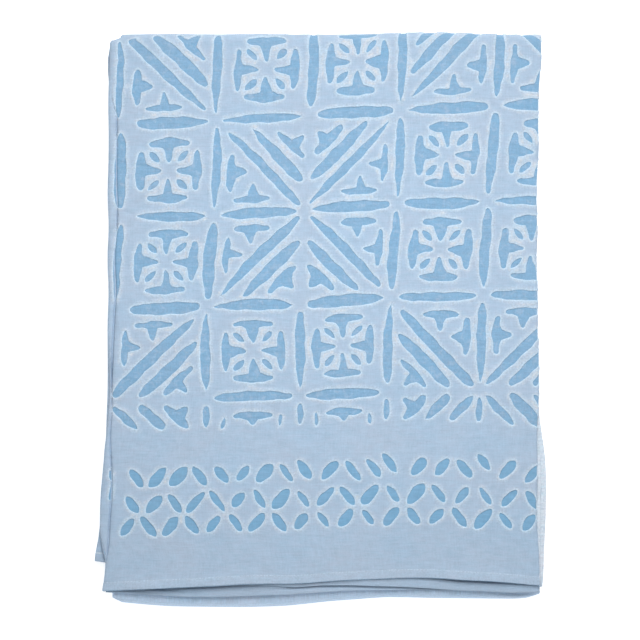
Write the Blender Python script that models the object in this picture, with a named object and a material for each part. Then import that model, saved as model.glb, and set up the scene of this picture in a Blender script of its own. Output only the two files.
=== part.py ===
"""Applique bedspread, folded in four across and then in four along, lying flat.

The cloth is a double bedspread of about 2.2 by 2.8 m. First it is folded in half and in half
again across, which gives a long strip of four layers. Then the strip is folded in half and in
half again along, which gives sixteen layers in all. Its cutwork side is up.

Two pieces are modelled. The ground cloth is the whole folded sheet. The applique cloth is the
paler cloth with the cut windows that is sewn on it. It is modelled where it shows: on the top
face and round the left, right and top folds.

Metres, +Z up. X runs across the folded face, Y runs up it, away from the hems, and the origin
is on the resting face, under the middle of the folded cloth.
"""

import math
import random
from collections import namedtuple

import bmesh
import bpy
from mathutils import Vector

MM = 0.001

# Thickness of the cloth and the air between its layers
LAYER = 1.0 * MM
GAP = 0.4 * MM
STRIP = 4 * LAYER + 3 * GAP
STRIP_GAP = 0.5 * MM

# Folds of the strip across: the middle radius of the outer and inner bends
BIG_BEND = STRIP / 2 - LAYER / 2
SMALL_BEND = (LAYER + GAP) / 2
BEND_HEIGHT = STRIP / 2
TOP_BEND_HEIGHT = STRIP - LAYER - GAP / 2

# Folds along: radius of each bend at the strip's back
OUTER_TURN = STRIP + 1.5 * STRIP_GAP
INNER_TURN = STRIP + 0.5 * STRIP_GAP
LOWER_TURN = 0.5 * STRIP_GAP

# The applique cloth and the room under it
APPLIQUE = 1.0 * MM
APPLIQUE_CLEAR = 0.35 * MM
APPLIQUE_LIFT = APPLIQUE_CLEAR + APPLIQUE / 2
FACE_HALF = 270 * MM

# How finely the folds are stepped
RUN_STEPS = 4
BIG_BEND_STEPS = 6
SMALL_BEND_STEPS = 4
OUTER_TURN_STEPS = 8
SMALL_TURN_STEPS = 6

# How many steps of each fold the applique cloth follows
LEFT_WRAP_STEPS = 3
RIGHT_WRAP_STEPS = 2
TOP_WRAP_STEPS = 6

# The bend line at the top of the folded face, its lowest place, and how far the corners of the
# strip draw in round the turns there
TOP_LINE = 355.0 * MM
LOWEST = -360.0 * MM
TOP_CORNER_INSET = 13.0 * MM
LOWER_CORNER_INSET = 10.0 * MM

BLUE = (0.27, 0.47, 0.70, 1.0)
PALE_BLUE = (0.48, 0.61, 0.79, 1.0)

# The edges of the strip on each of the four legs that the second folding gives, leg 1 on top.
# y is the place along the leg, left the big fold, right the small fold, free the side hem.
Edge = namedtuple("Edge", "y left right free")
LEG_EDGES = {
    1: [
        Edge(-350, -278, 282, 287),
        Edge(-315, -275, 280, 289),
        Edge(-250, -268, 279, 290),
        Edge(-205, -269, 278, 289),
        Edge(-150, -270, 278, 284),
        Edge(-90, -271, 279, 276),
        Edge(-40, -272, 278, 274),
        Edge(60, -272, 278, 273),
        Edge(180, -272, 278, 273),
        Edge(290, -270, 281, 273),
        Edge(355, -270, 283, 275),
    ],
    4: [
        Edge(-360, -268, 280, 275),
        Edge(-120, -270, 276, 270),
        Edge(120, -270, 276, 272),
        Edge(355, -270, 283, 275),
    ],
    3: [
        Edge(-360, -268, 280, 275),
        Edge(-120, -272, 276, 270),
        Edge(120, -271, 275, 268),
        Edge(355, -270, 280, 274),
    ],
    2: [
        Edge(-312, -289, 276, 279),
        Edge(-293, -287, 276, 279),
        Edge(-272, -282, 276, 278),
        Edge(-209, -280, 275, 276),
        Edge(-180, -278, 275, 275),
        Edge(-145, -275, 275, 274),
        Edge(20, -273, 275, 272),
        Edge(180, -272, 276, 272),
        Edge(355, -270, 280, 274),
    ],
}
FREE_LAG = 3 * MM
# A row this near to an end of its leg, as a share of the leg, is left to the end's own ring
END_SHARE = 0.02

# The hem of each of the strip's four layers at the end of leg 1: places across and along
Place = namedtuple("Place", "x y")
HEMS = {
    1: [Place(-278, -349), Place(-103, -340), Place(90, -332), Place(154, -332), Place(282, -341)],
    2: [Place(-278, -343), Place(-57, -341), Place(-26, -344), Place(77, -343), Place(268, -352),
        Place(282, -347)],
    3: [Place(-269, -350), Place(-178, -356), Place(-90, -355), Place(10, -349), Place(58, -347),
        Place(282, -348)],
    4: [Place(-278, -344), Place(0, -343), Place(282, -347)],
}
# The hem of the strip at the end of leg 2, and the bend at the bottom
BACK_HEM = [Place(-290, -309), Place(-278, -313), Place(0, -306), Place(282, -300)]
LOWER_LINE = [Place(-270, -353), Place(-258, -356), Place(-204, -360), Place(-90, -362.5),
              Place(-46, -361), Place(10, -355), Place(102, -350), Place(150, -350.5),
              Place(267, -350.5), Place(282, -347)]


def between(table, key, value, at):
    """Read a table of rows at a place between two of them, with the rows' key rising."""
    rows = sorted(table, key=lambda row: getattr(row, key))
    if at <= getattr(rows[0], key):
        return getattr(rows[0], value)
    for low, high in zip(rows, rows[1:]):
        if at <= getattr(high, key):
            share = (at - getattr(low, key)) / (getattr(high, key) - getattr(low, key))
            return getattr(low, value) + share * (getattr(high, value) - getattr(low, value))
    return getattr(rows[-1], value)


def line_at(line, x):
    """The y in metres of a line given in millimetres, at x in metres."""
    return between(line, "x", "y", x / MM) * MM


def edges_at(leg, y):
    """The left fold, right fold and side hem of a leg, in metres."""
    return [between(LEG_EDGES[leg], "y", name, y / MM) * MM for name in ("left", "right", "free")]


def lerp(start, end, share):
    return start + (end - start) * share


def smooth(share):
    share = min(max(share, 0.0), 1.0)
    return share * share * (3 - 2 * share)


# The strip's section


def layer_height(layer):
    return (4.5 - layer) * LAYER + (4 - layer) * GAP


def section(left, right, free):
    """Points along the middle of the strip's section, from the free hem of its lowest layer.

    Each is (x, height, heading, layers, share): the heading in radians, and the two layers
    that the point lies between with its share of the second.
    """
    bend_x = left + BIG_BEND + LAYER / 2
    turn_x = right - SMALL_BEND - LAYER / 2
    points = []

    def run(layer, start, end):
        heading = 0.0 if end > start else math.pi
        for step in range(RUN_STEPS + 1):
            x = lerp(start, end, step / RUN_STEPS)
            points.append((x, layer_height(layer), heading, (layer, layer), 0.0))

    def bend(x, height, radius, steps, start, sweep, layers):
        for step in range(1, steps):
            share = step / steps
            heading = start + sweep * share
            side = math.copysign(radius, sweep)
            px = x + side * math.sin(heading)
            pz = height - side * math.cos(heading)
            points.append((px, pz, heading, layers, share))

    run(4, free, bend_x)
    bend(bend_x, BEND_HEIGHT, BIG_BEND, BIG_BEND_STEPS, math.pi, -math.pi, (4, 1))
    run(1, bend_x, turn_x)
    bend(turn_x, TOP_BEND_HEIGHT, SMALL_BEND, SMALL_BEND_STEPS, 0.0, -math.pi, (1, 2))
    run(2, turn_x, bend_x)
    bend(bend_x, BEND_HEIGHT, SMALL_BEND, SMALL_BEND_STEPS, math.pi, math.pi, (2, 3))
    run(3, bend_x, free - FREE_LAG)
    return points


def outline(left, right, free):
    """The closed outline of the section: one side of the cloth, then the other side back."""
    middle = section(left, right, free)
    sides = []
    for side in (1, -1):
        row = []
        for x, height, heading, layers, share in middle:
            across = -side * math.sin(heading) * LAYER / 2
            up = side * math.cos(heading) * LAYER / 2
            row.append((x + across, height + up, layers, share))
        sides.append(row)
    return sides[0] + sides[1][::-1]


# The strip's path along, leg by leg


class Leg:
    """A straight stretch of the strip, from the bend line at its top to its lower end."""

    def __init__(self, number, back, up, ends):
        self.number = number
        self.back = back
        self.up = up
        self.ends = ends

    def point(self, share, x, height, layers, blend):
        low = lerp(line_at(self.ends[layers[0]], x), line_at(self.ends[layers[1]], x), blend)
        return Vector((x, lerp(TOP_LINE, low, share), self.back + self.up * height))

    def ring(self, share):
        low = line_at(self.ends[1], 0.0)
        sides = edges_at(self.number, lerp(TOP_LINE, low, share))
        return [self.point(share, *corner) for corner in outline(*sides)]


class Turn:
    """A half turn of the strip about a line across, at its top (way 1) or its bottom (-1).

    outward is 1 where the strip lies outside its back, and -1 where it lies inside.
    """

    def __init__(self, line, centre, radius, outward, way, corners, inset):
        self.line = line
        self.centre = centre
        self.radius = radius
        self.outward = outward
        self.way = way
        self.corners = corners
        self.inset = inset

    def point(self, angle, x, height):
        start = line_at(self.line, x) if self.line else TOP_LINE
        reach = self.radius + self.outward * height
        y = start + self.way * reach * math.sin(angle)
        return Vector((x, y, self.centre + reach * math.cos(angle)))

    def ring(self, angle):
        left, right, free = self.corners
        left += self.inset * smooth(math.sin(angle))
        corners = outline(left, right, free)
        return [self.point(angle, x, height) for x, height, layers, share in corners]


def same_end(line):
    return {layer: line for layer in (1, 2, 3, 4)}


LEG_1 = Leg(1, 3 * STRIP + 3 * STRIP_GAP, 1, HEMS)
LEG_4 = Leg(4, STRIP, -1, same_end(LOWER_LINE))
LEG_3 = Leg(3, STRIP + STRIP_GAP, 1, same_end(LOWER_LINE))
LEG_2 = Leg(2, 3 * STRIP + 2 * STRIP_GAP, -1, same_end(BACK_HEM))
TURN_CENTRE = 2 * STRIP + 1.5 * STRIP_GAP
OUTER = Turn(None, TURN_CENTRE, OUTER_TURN, 1, 1, edges_at(1, TOP_LINE), TOP_CORNER_INSET)
INNER = Turn(None, TURN_CENTRE, INNER_TURN, -1, 1, edges_at(2, TOP_LINE), 0.0)
LOWER = Turn(LOWER_LINE, STRIP + STRIP_GAP / 2, LOWER_TURN, 1, -1, edges_at(4, LOWEST),
             LOWER_CORNER_INSET)


def leg_rings(leg, downward):
    """Rings at the places where the leg's edges are given, and at both of its ends."""
    low = line_at(leg.ends[1], 0.0) / MM
    top = TOP_LINE / MM
    shares = {0.0, 1.0}
    for row in LEG_EDGES[leg.number]:
        share = (top - row.y) / (top - low)
        if END_SHARE < share < 1 - END_SHARE:
            shares.add(share)
    return [leg.ring(share) for share in sorted(shares, reverse=not downward)]


def turn_rings(turn, steps, rising):
    """Rings within a turn, from its upper end to its lower end unless it rises."""
    angles = [math.pi * step / steps for step in range(1, steps)]
    if rising:
        angles.reverse()
    return [turn.ring(angle) for angle in angles]


def loft(name, rings):
    """A closed mesh through rings of like points, which it caps at both ends."""
    mesh = bpy.data.meshes.new(name)
    shape = bmesh.new()
    rows = [[shape.verts.new(point) for point in ring] for ring in rings]
    count = len(rows[0])
    for near, far in zip(rows, rows[1:]):
        for index in range(count):
            after = (index + 1) % count
            shape.faces.new((near[index], near[after], far[after], far[index]))
    for row in (rows[0], rows[-1]):
        for index in range(count // 2 - 1):
            opposite = count - 1 - index
            shape.faces.new((row[index], row[index + 1], row[opposite - 1], row[opposite]))
    bmesh.ops.triangulate(shape, faces=shape.faces[:])
    bmesh.ops.recalc_face_normals(shape, faces=shape.faces[:])
    shape.to_mesh(mesh)
    shape.free()
    return mesh


def ground_cloth_mesh():
    rings = leg_rings(LEG_1, downward=False)
    rings += turn_rings(OUTER, OUTER_TURN_STEPS, rising=False)
    rings += leg_rings(LEG_4, downward=True)
    rings += turn_rings(LOWER, SMALL_TURN_STEPS, rising=True)
    rings += leg_rings(LEG_3, downward=False)
    rings += turn_rings(INNER, SMALL_TURN_STEPS, rising=True)
    rings += leg_rings(LEG_2, downward=True)
    return loft("ground_cloth", rings)


# The pattern of the applique cloth, in cells

# The crossings of the grid of cells on the face, in millimetres: rows 1 to 4 from the top
CROSSINGS = {
    1: [(-256, 252), (-133, 259), (-12, 266), (105, 269), (226, 275)],
    2: [(-261, 136), (-137, 136), (-19, 144), (98, 149), (215, 152)],
    3: [(-265, 16), (-146, 18), (-28, 22), (88, 31), (210, 35)],
    4: [(-268, -100), (-141, -96), (-27, -92), (85, -88), (206, -83)],
}
CELL = 119 * MM

# The pattern repeats every four cells. A star stands on two crossings of each repeat, with its
# forked windows above and below it where it is upright, and beside it where it is level.
REPEAT = 4
STARS = {(0, 0): "level", (2, 2): "upright"}

# Sizes within a cell, as shares of it
BAR_ENDS = (0.08, 0.91)
BAR_WIDTH = 0.105
BAR_BLUNT = 0.72
TEE_OUT = 0.295
TEE_BAR = 0.42
TEE_TIP = 0.085
TEE_WIDTH = 0.085
TEE_BASE = 0.115
PETAL_REACH = (0.10, 0.205)
PETAL_WIDTH = 0.062
WIDTH_PLAY = 0.18
PLACE_PLAY = 0.006

# Where a window's outline bends, as a share of its length, and how far out, in half widths
SHOULDER = 0.12
TEE_SHOULDER = 0.25
TEE_INNER = 0.15
TEE_BACK = 0.8
TEE_FRONT = 0.9
TEE_ROOT = 1.1

# A quarter of a star, in its cell seen from the star: a runs towards the forked windows
Part = namedtuple("Part", "a b to_a to_b tip_a tip_b width")
STAR_QUARTER = [
    Part(0.07, 0.06, 0.88, 0.87, None, None, 0.10),
    Part(0.33, 0.05, 0.90, 0.62, None, None, 0.095),
    Part(0.60, 0.06, 0.88, 0.35, 0.83, 0.08, 0.09),
    Part(0.185, 0.39, 0.185, 0.78, 0.345, 0.585, 0.08),
    Part(0.275, 0.83, 0.665, 0.83, 0.47, 0.65, 0.07),
]
STAR_TEE_BASE = 0.11

# Rows of border leaves: how far above the hem, the first one's place, and how the leaves lean
# by turns, R to the right and L to the left. The bow draws the middle of a row to the left.
Row = namedtuple("Row", "above first_x pitch bow leans")
LEAF_ROWS = [
    Row(143, -237, 28.3, 6, "LRRL"),
    Row(109, -240, 28.5, 9.5, "LR"),
    Row(80, -247, 28.7, 6, "RL"),
]
Leaf = namedtuple("Leaf", "angle width")
LEAVES = {"R": Leaf(50, 11.5), "L": Leaf(125, 9)}
LEAF_COUNT = 19
LEAF_LENGTH = 27 * MM
LEAF_BLUNT = 0.85

# The line that cuts the last row of cells short, and the bars that the left fold hides
FIELD_ABOVE_HEM = 205 * MM
SHORTEST_WINDOW = 10 * MM
HIDDEN_BARS = {(0, 3), (0, 4)}


def crossing(column, row):
    """The place of a grid point, carried on evenly past the rows and columns of the table."""
    near_row = min(max(row, 1), 4)
    near_column = min(max(column, 0), 4)
    near = Vector(CROSSINGS[near_row][near_column])
    place = near.copy()
    if column != near_column:
        inner = CROSSINGS[near_row][near_column + (1 if column < 0 else -1)]
        place += (near - Vector(inner)) * abs(column - near_column)
    if row != near_row:
        inner = CROSSINGS[near_row + (1 if row < 1 else -1)][near_column]
        place += (near - Vector(inner)) * abs(row - near_row)
    return place * MM


def plan(across, down):
    """The place on the face of a point in cells, between the four crossings around it."""
    column, row = math.floor(across), math.floor(down)
    u, v = across - column, down - row
    upper = crossing(column, row).lerp(crossing(column + 1, row), u)
    lower = crossing(column, row + 1).lerp(crossing(column + 1, row + 1), u)
    return upper.lerp(lower, v)


class Frame:
    """A cell seen from one corner: a runs along one side from it, and b along the other."""

    def __init__(self, corner, a_way, b_way):
        self.corner = Vector(corner)
        self.a_way = Vector(a_way)
        self.b_way = Vector(b_way)

    def place(self, a, b):
        spot = self.corner + self.a_way * a + self.b_way * b
        return plan(spot.x, spot.y)


def spindle(start, end, width, blunt):
    """A long lens from start to end, its tips rounded off: blunt is its width near them."""
    along = end - start
    side = Vector((-along.y, along.x)).normalized() * width / 2
    spread = ((SHOULDER, blunt), (0.5, 1.0), (1 - SHOULDER, blunt))
    upper = [start + along * share + side * wide for share, wide in spread]
    lower = [start + along * share - side * wide for share, wide in reversed(spread)]
    return [start] + upper + [end] + lower


def tee(start, end, tip, width, base):
    """A bowed bar from start to end, and a prong from it to its tip."""
    along = end - start
    across = Vector((-along.y, along.x)).normalized() * width / 2
    if (tip - start).dot(across) < 0:
        across = -across
    root = (tip - start).dot(along) / along.length_squared
    half_base = base / 2 / along.length

    def at(share, depth):
        return start + along * share + across * depth

    back = [at(TEE_SHOULDER, -TEE_BACK), at(1 - TEE_SHOULDER, -TEE_BACK)]
    near = [at(root - half_base, TEE_ROOT), at(TEE_INNER, TEE_FRONT)]
    far = [at(1 - TEE_INNER, TEE_FRONT), at(root + half_base, TEE_ROOT)]
    return [start] + back + [end] + far + [tip] + near


class Cutter:
    """Collects the windows, with the small play in width and place that hand cutting gives."""

    def __init__(self, seed):
        self.chance = random.Random(seed)
        self.windows = []

    def play(self, value, amount):
        return value * (1 + self.chance.uniform(-amount, amount))

    def nudge(self, point):
        reach = PLACE_PLAY * CELL
        shift = Vector((self.chance.uniform(-reach, reach), self.chance.uniform(-reach, reach)))
        return point + shift

    def bar(self, start, end, width, stop=None, blunt=BAR_BLUNT):
        start, end = self.nudge(start), self.nudge(end)
        width = self.play(width, WIDTH_PLAY)
        if stop is not None:
            full = (end - start).length
            start, end = shortened(start, end, stop)
            if start is None or (end - start).length < SHORTEST_WINDOW:
                return
            width *= (1 + (end - start).length / full) / 2
        self.windows.append(spindle(start, end, width, blunt))

    def tee(self, start, end, tip, width, base, stop=None):
        shift = self.nudge(Vector((0, 0)))
        start, end, tip = start + shift, end + shift, tip + shift
        width = self.play(width, WIDTH_PLAY)
        base = self.play(base, WIDTH_PLAY)
        if stop is not None and min(p.y - stop(p.x) for p in (start, end, tip)) < 0:
            if min(p.y - stop(p.x) for p in (start, end)) < 0:
                self.bar(start, end, width, stop)
                return
            level = stop(tip.x)
            tip = tip.lerp((start + end) / 2, (level - tip.y) / ((start.y + end.y) / 2 - tip.y))
        self.windows.append(tee(start, end, tip, width, base))


def shortened(start, end, stop):
    """The part of a line that lies above the closing line of the field."""
    if start.y < end.y:
        start, end = end, start
    if start.y < stop(start.x):
        return None, None
    if end.y > stop(end.x):
        return start, end
    level = stop((start.x + end.x) / 2)
    share = (start.y - level) / (start.y - end.y)
    return start, start.lerp(end, min(max(share, 0.0), 1.0))


def closing_line(x):
    return line_at(HEMS[1], x) + FIELD_ABOVE_HEM


def star_kind(column, row):
    return STARS.get((column % REPEAT, row % REPEAT))


def star_of(column, row):
    """The star crossing at a corner of a cell, or None for a flower cell."""
    for corner in ((column, row), (column + 1, row), (column, row + 1), (column + 1, row + 1)):
        if star_kind(*corner):
            return corner
    return None


def flower_cell(cutter, column, row, stop):
    """Four tees that point at the middle of the cell, and four petals between them."""
    frame = Frame((column + 0.5, row + 0.5), (1, 0), (0, 1))
    half = TEE_BAR / 2
    for a, b in ((0, -1), (1, 0), (0, 1), (-1, 0)):
        start = frame.place(a * TEE_OUT - b * half, b * TEE_OUT + a * half)
        end = frame.place(a * TEE_OUT + b * half, b * TEE_OUT - a * half)
        tip = frame.place(a * TEE_TIP, b * TEE_TIP)
        cutter.tee(start, end, tip, TEE_WIDTH * CELL, TEE_BASE * CELL, stop)
    near, far = PETAL_REACH
    for a, b in ((-1, -1), (1, -1), (1, 1), (-1, 1)):
        cutter.bar(frame.place(a * near, b * near), frame.place(a * far, b * far),
                   PETAL_WIDTH * CELL, stop)


def star_cell(cutter, column, row, star, stop):
    """Two long bars beside the diagonal, a forked window and two tees in the cell's corners."""
    ways = [(1 if star[0] == column else -1, 0), (0, 1 if star[1] == row else -1)]
    if star_kind(*star) == "upright":
        ways.reverse()
    frame = Frame(star, *ways)
    for part in STAR_QUARTER:
        start = frame.place(part.a, part.b)
        end = frame.place(part.to_a, part.to_b)
        if part.tip_a is None:
            cutter.bar(start, end, part.width * CELL, stop)
        else:
            tip = frame.place(part.tip_a, part.tip_b)
            cutter.tee(start, end, tip, part.width * CELL, STAR_TEE_BASE * CELL, stop)


def has_bar(column, row, level):
    """Whether the edge of a cell carries a bar. The forked sides of a star have none."""
    if (column, row) in HIDDEN_BARS and not level:
        return False
    for end in ((column, row), (column + 1, row) if level else (column, row + 1)):
        if star_kind(*end):
            return level == (star_kind(*end) == "upright")
    return True


def field(cutter, columns, rows):
    """All cells and the bars on their edges. The last row is cut short by the closing line."""
    for row in rows:
        stop = closing_line if row == rows[-1] else None
        for column in columns:
            star = star_of(column, row)
            if star:
                star_cell(cutter, column, row, star, stop)
            else:
                flower_cell(cutter, column, row, stop)
            frame = Frame((column, row), (1, 0), (0, 1))
            low, high = BAR_ENDS
            if has_bar(column, row, True):
                cutter.bar(frame.place(low, 0), frame.place(high, 0), BAR_WIDTH * CELL)
            if has_bar(column, row, False):
                cutter.bar(frame.place(0, low), frame.place(0, high), BAR_WIDTH * CELL, stop)


def border(cutter):
    """Three rows of slanting leaves along the hem, which lean by turns."""
    for row in LEAF_ROWS:
        for index in range(LEAF_COUNT):
            bow = row.bow * math.sin(math.pi * index / (LEAF_COUNT - 1))
            x = (row.first_x + index * row.pitch - bow) * MM
            middle = Vector((x, line_at(HEMS[1], x) + row.above * MM))
            leaf = LEAVES[row.leans[index % len(row.leans)]]
            angle = math.radians(leaf.angle)
            reach = Vector((math.cos(angle), math.sin(angle))) * LEAF_LENGTH / 2
            cutter.bar(middle - reach, middle + reach, leaf.width * MM, blunt=LEAF_BLUNT)


# The applique cloth


def face_lines(x, y):
    """The lines where the face ends and its left and right bends start, in metres."""
    share = max((TOP_LINE - y) / (TOP_LINE - line_at(HEMS[1], x)), 0.0)
    left, right, free = edges_at(1, lerp(TOP_LINE, line_at(HEMS[1], 0.0), share))
    return left + BIG_BEND + LAYER / 2, right - SMALL_BEND - LAYER / 2


def to_cloth(point):
    """From a place seen on the face to the flat cloth, whose bend lines are straight."""
    left, right = face_lines(point.x, point.y)
    share = (point.x - left) / (right - left)
    return Vector(((2 * share - 1) * FACE_HALF, point.y))


def bent(line, way, over, centre, radius, lift):
    """The place across and the height of a point that lies past the start of a bend."""
    angle = over / (radius + APPLIQUE_LIFT)
    reach = radius + lift
    return line + way * reach * math.sin(angle), centre + reach * math.cos(angle)


def wrapped(point):
    """From the flat cloth to the folded one. z is the distance from the cloth's middle."""
    rise = max(point.y - TOP_LINE, 0.0)
    angle = rise / TOP_REACH
    left, right = face_lines(point.x, point.y)
    left += TOP_CORNER_INSET * smooth(math.sin(min(angle, math.pi)))
    lift = APPLIQUE_LIFT + point.z
    x = lerp(left, right, (point.x + FACE_HALF) / (2 * FACE_HALF))
    height = STRIP + lift
    if point.x < -FACE_HALF:
        x, height = bent(left, -1, -FACE_HALF - point.x, BEND_HEIGHT, LEFT_RADIUS, lift)
    if point.x > FACE_HALF:
        x, height = bent(right, 1, point.x - FACE_HALF, TOP_BEND_HEIGHT, RIGHT_RADIUS, lift)
    if rise > 0:
        return OUTER.point(angle, x, height)
    return Vector((x, point.y, LEG_1.back + height))


LEFT_RADIUS = BIG_BEND + LAYER / 2
RIGHT_RADIUS = SMALL_BEND + LAYER / 2
TOP_REACH = OUTER_TURN + STRIP + APPLIQUE_LIFT
LEFT_STEP = math.pi / BIG_BEND_STEPS * (LEFT_RADIUS + APPLIQUE_LIFT)
RIGHT_STEP = math.pi / SMALL_BEND_STEPS * (RIGHT_RADIUS + APPLIQUE_LIFT)
TOP_STEP = math.pi / OUTER_TURN_STEPS * TOP_REACH
PANEL_LEFT = -FACE_HALF - LEFT_WRAP_STEPS * LEFT_STEP
PANEL_RIGHT = FACE_HALF + RIGHT_WRAP_STEPS * RIGHT_STEP
PANEL_TOP = TOP_LINE + TOP_WRAP_STEPS * TOP_STEP
EDGE_MARGIN = 1.5 * MM
LEAST_WINDOW = 3 * MM
CUT_REACH = 0.001 * MM
MERGE_REACH = 0.01 * MM


def cloth_outline():
    """The flat panel: straight at the sides and the top, along the hem at the bottom."""
    low = [to_cloth(Vector((place.x, place.y)) * MM) for place in HEMS[1]]
    corners = [Vector((PANEL_LEFT, low[0].y))] + low[1:-1] + [Vector((PANEL_RIGHT, low[-1].y))]
    return corners + [Vector((PANEL_RIGHT, PANEL_TOP)), Vector((PANEL_LEFT, PANEL_TOP))]


def cut_at(window, axis, limit, way):
    """The part of a window on one side of a line along X or Y."""
    kept = []
    for index, point in enumerate(window):
        before = window[index - 1]
        reach, reach_before = way * (limit - point[axis]), way * (limit - before[axis])
        if reach * reach_before < 0:
            kept.append(before.lerp(point, reach_before / (reach_before - reach)))
        if reach >= 0:
            kept.append(point)
    return kept


def inside(window):
    """The part of a window that stays on the panel, or None where too little is left."""
    window = cut_at(window, 0, PANEL_LEFT + EDGE_MARGIN, -1)
    window = cut_at(window, 0, PANEL_RIGHT - EDGE_MARGIN, 1)
    window = cut_at(window, 1, PANEL_TOP - EDGE_MARGIN, 1)
    if len(window) < 3:
        return None
    wide = max(p.x for p in window) - min(p.x for p in window)
    tall = max(p.y for p in window) - min(p.y for p in window)
    return window if min(wide, tall) > LEAST_WINDOW else None


def applique_windows():
    cutter = Cutter(seed=11)
    field(cutter, range(-1, 5), range(0, 5))
    border(cutter)
    windows = [[to_cloth(point) for point in window] for window in cutter.windows]
    windows = [inside(window) for window in windows]
    return [window for window in windows if window]


def flat_panel():
    """The flat cloth with its windows cut out, from a filled outline."""
    curve = bpy.data.curves.new("applique_outline", "CURVE")
    curve.dimensions = "2D"
    curve.fill_mode = "BOTH"
    curve.extrude = APPLIQUE / 2
    for ring in [cloth_outline()] + applique_windows():
        spline = curve.splines.new("POLY")
        spline.points.add(len(ring) - 1)
        for spot, point in zip(spline.points, ring):
            spot.co = (point.x, point.y, 0.0, 1.0)
        spline.use_cyclic_u = True
    guide = bpy.data.objects.new("applique_outline", curve)
    bpy.context.scene.collection.objects.link(guide)
    flat = guide.evaluated_get(bpy.context.evaluated_depsgraph_get())
    mesh = bpy.data.meshes.new_from_object(flat)
    bpy.data.objects.remove(guide)
    bpy.data.curves.remove(curve)
    return mesh


def cut_across(shape, faces, place, normal):
    """Cut the faces along a plane, without taking anything away."""
    parts = {part for face in faces for part in (*face.verts, *face.edges)}
    bmesh.ops.bisect_plane(shape, geom=list(parts) + list(faces), dist=CUT_REACH,
                           plane_co=place, plane_no=normal)


def cut_bends(shape):
    """Cut the flat cloth where it bends, and its bends where the strip's edges turn."""
    for step in range(LEFT_WRAP_STEPS):
        cut_across(shape, shape.faces[:], (-FACE_HALF - step * LEFT_STEP, 0, 0), (1, 0, 0))
    for step in range(RIGHT_WRAP_STEPS):
        cut_across(shape, shape.faces[:], (FACE_HALF + step * RIGHT_STEP, 0, 0), (1, 0, 0))
    for step in range(TOP_WRAP_STEPS):
        cut_across(shape, shape.faces[:], (0, TOP_LINE + step * TOP_STEP, 0), (0, 1, 0))
    low = line_at(HEMS[1], 0.0)
    for way in (-1, 1):
        hem = line_at(HEMS[1], way * FACE_HALF)
        for row in LEG_EDGES[1][1:-1]:
            y = lerp(TOP_LINE, hem, (TOP_LINE - row.y * MM) / (TOP_LINE - low))
            bends = [face for face in shape.faces
                     if way * face.calc_center_median().x > FACE_HALF]
            cut_across(shape, bends, (0, y, 0), (0, 1, 0))


def applique_cloth_mesh():
    mesh = flat_panel()
    shape = bmesh.new()
    shape.from_mesh(mesh)
    bmesh.ops.remove_doubles(shape, verts=shape.verts[:], dist=MERGE_REACH)
    cut_bends(shape)
    bmesh.ops.triangulate(shape, faces=shape.faces[:])
    for vert in shape.verts:
        vert.co = wrapped(vert.co)
    bmesh.ops.recalc_face_normals(shape, faces=shape.faces[:])
    shape.to_mesh(mesh)
    shape.free()
    return mesh


# Materials, objects and the shared frame


def cotton(name, colour):
    material = bpy.data.materials.new(name)
    material.use_nodes = True
    shader = material.node_tree.nodes["Principled BSDF"]
    shader.inputs["Base Color"].default_value = colour
    shader.inputs["Roughness"].default_value = 0.9
    shader.inputs["Metallic"].default_value = 0.0
    return material


def add_piece(collection, name, mesh, material):
    mesh.name = name
    mesh.materials.clear()
    mesh.materials.append(material)
    piece = bpy.data.objects.new(name, mesh)
    collection.objects.link(piece)
    return piece


def centre(pieces):
    """Put the origin on the resting face, under the middle of the folded cloth."""
    points = [vert.co for piece in pieces for vert in piece.data.vertices]
    low = Vector([min(point[axis] for point in points) for axis in range(3)])
    high = Vector([max(point[axis] for point in points) for axis in range(3)])
    shift = Vector((-(low.x + high.x) / 2, -(low.y + high.y) / 2, -low.z))
    for piece in pieces:
        for vert in piece.data.vertices:
            vert.co += shift


def main():
    for item in list(bpy.data.objects):
        bpy.data.objects.remove(item, do_unlink=True)
    collection = bpy.data.collections.new("applique_bedspread")
    bpy.context.scene.collection.children.link(collection)
    ground = add_piece(collection, "ground_cloth", ground_cloth_mesh(),
                       cotton("ground_cotton", BLUE))
    applique = add_piece(collection, "applique_cloth", applique_cloth_mesh(),
                         cotton("applique_cotton", PALE_BLUE))
    centre([ground, applique])


main()
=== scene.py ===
"""Folded applique bedspread, seen from above: a pale lawn with cut windows over a blue cambric.

The ground cloth is one long sheet, folded in four across and then in four along. The applique
cloth lies on its top face and goes round the left, right and top folds. Its windows are cut by
hand and their edges are turned under, so a paler band of doubled cloth runs round each one.
"""

import math
import random
from collections import namedtuple

import bpy
import numpy as np
from bpy.props import FloatProperty, FloatVectorProperty, IntProperty, PointerProperty
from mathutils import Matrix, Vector
from mathutils.geometry import delaunay_2d_cdt
from mathutils.kdtree import KDTree


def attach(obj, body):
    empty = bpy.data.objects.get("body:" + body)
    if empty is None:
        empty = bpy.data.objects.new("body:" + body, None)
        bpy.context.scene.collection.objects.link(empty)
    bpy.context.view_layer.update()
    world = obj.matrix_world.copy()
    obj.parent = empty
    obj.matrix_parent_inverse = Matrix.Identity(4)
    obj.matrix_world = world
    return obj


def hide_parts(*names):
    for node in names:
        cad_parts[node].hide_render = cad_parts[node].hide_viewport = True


bl_info = {
    "name": "Applique Bedspread",
    "version": (1, 0, 0),
    "blender": (4, 5, 0),
    "location": "View3D > Sidebar > Bedspread",
    "description": "Builds a folded bedspread with cutwork applique",
    "category": "Add Mesh",
}

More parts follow.
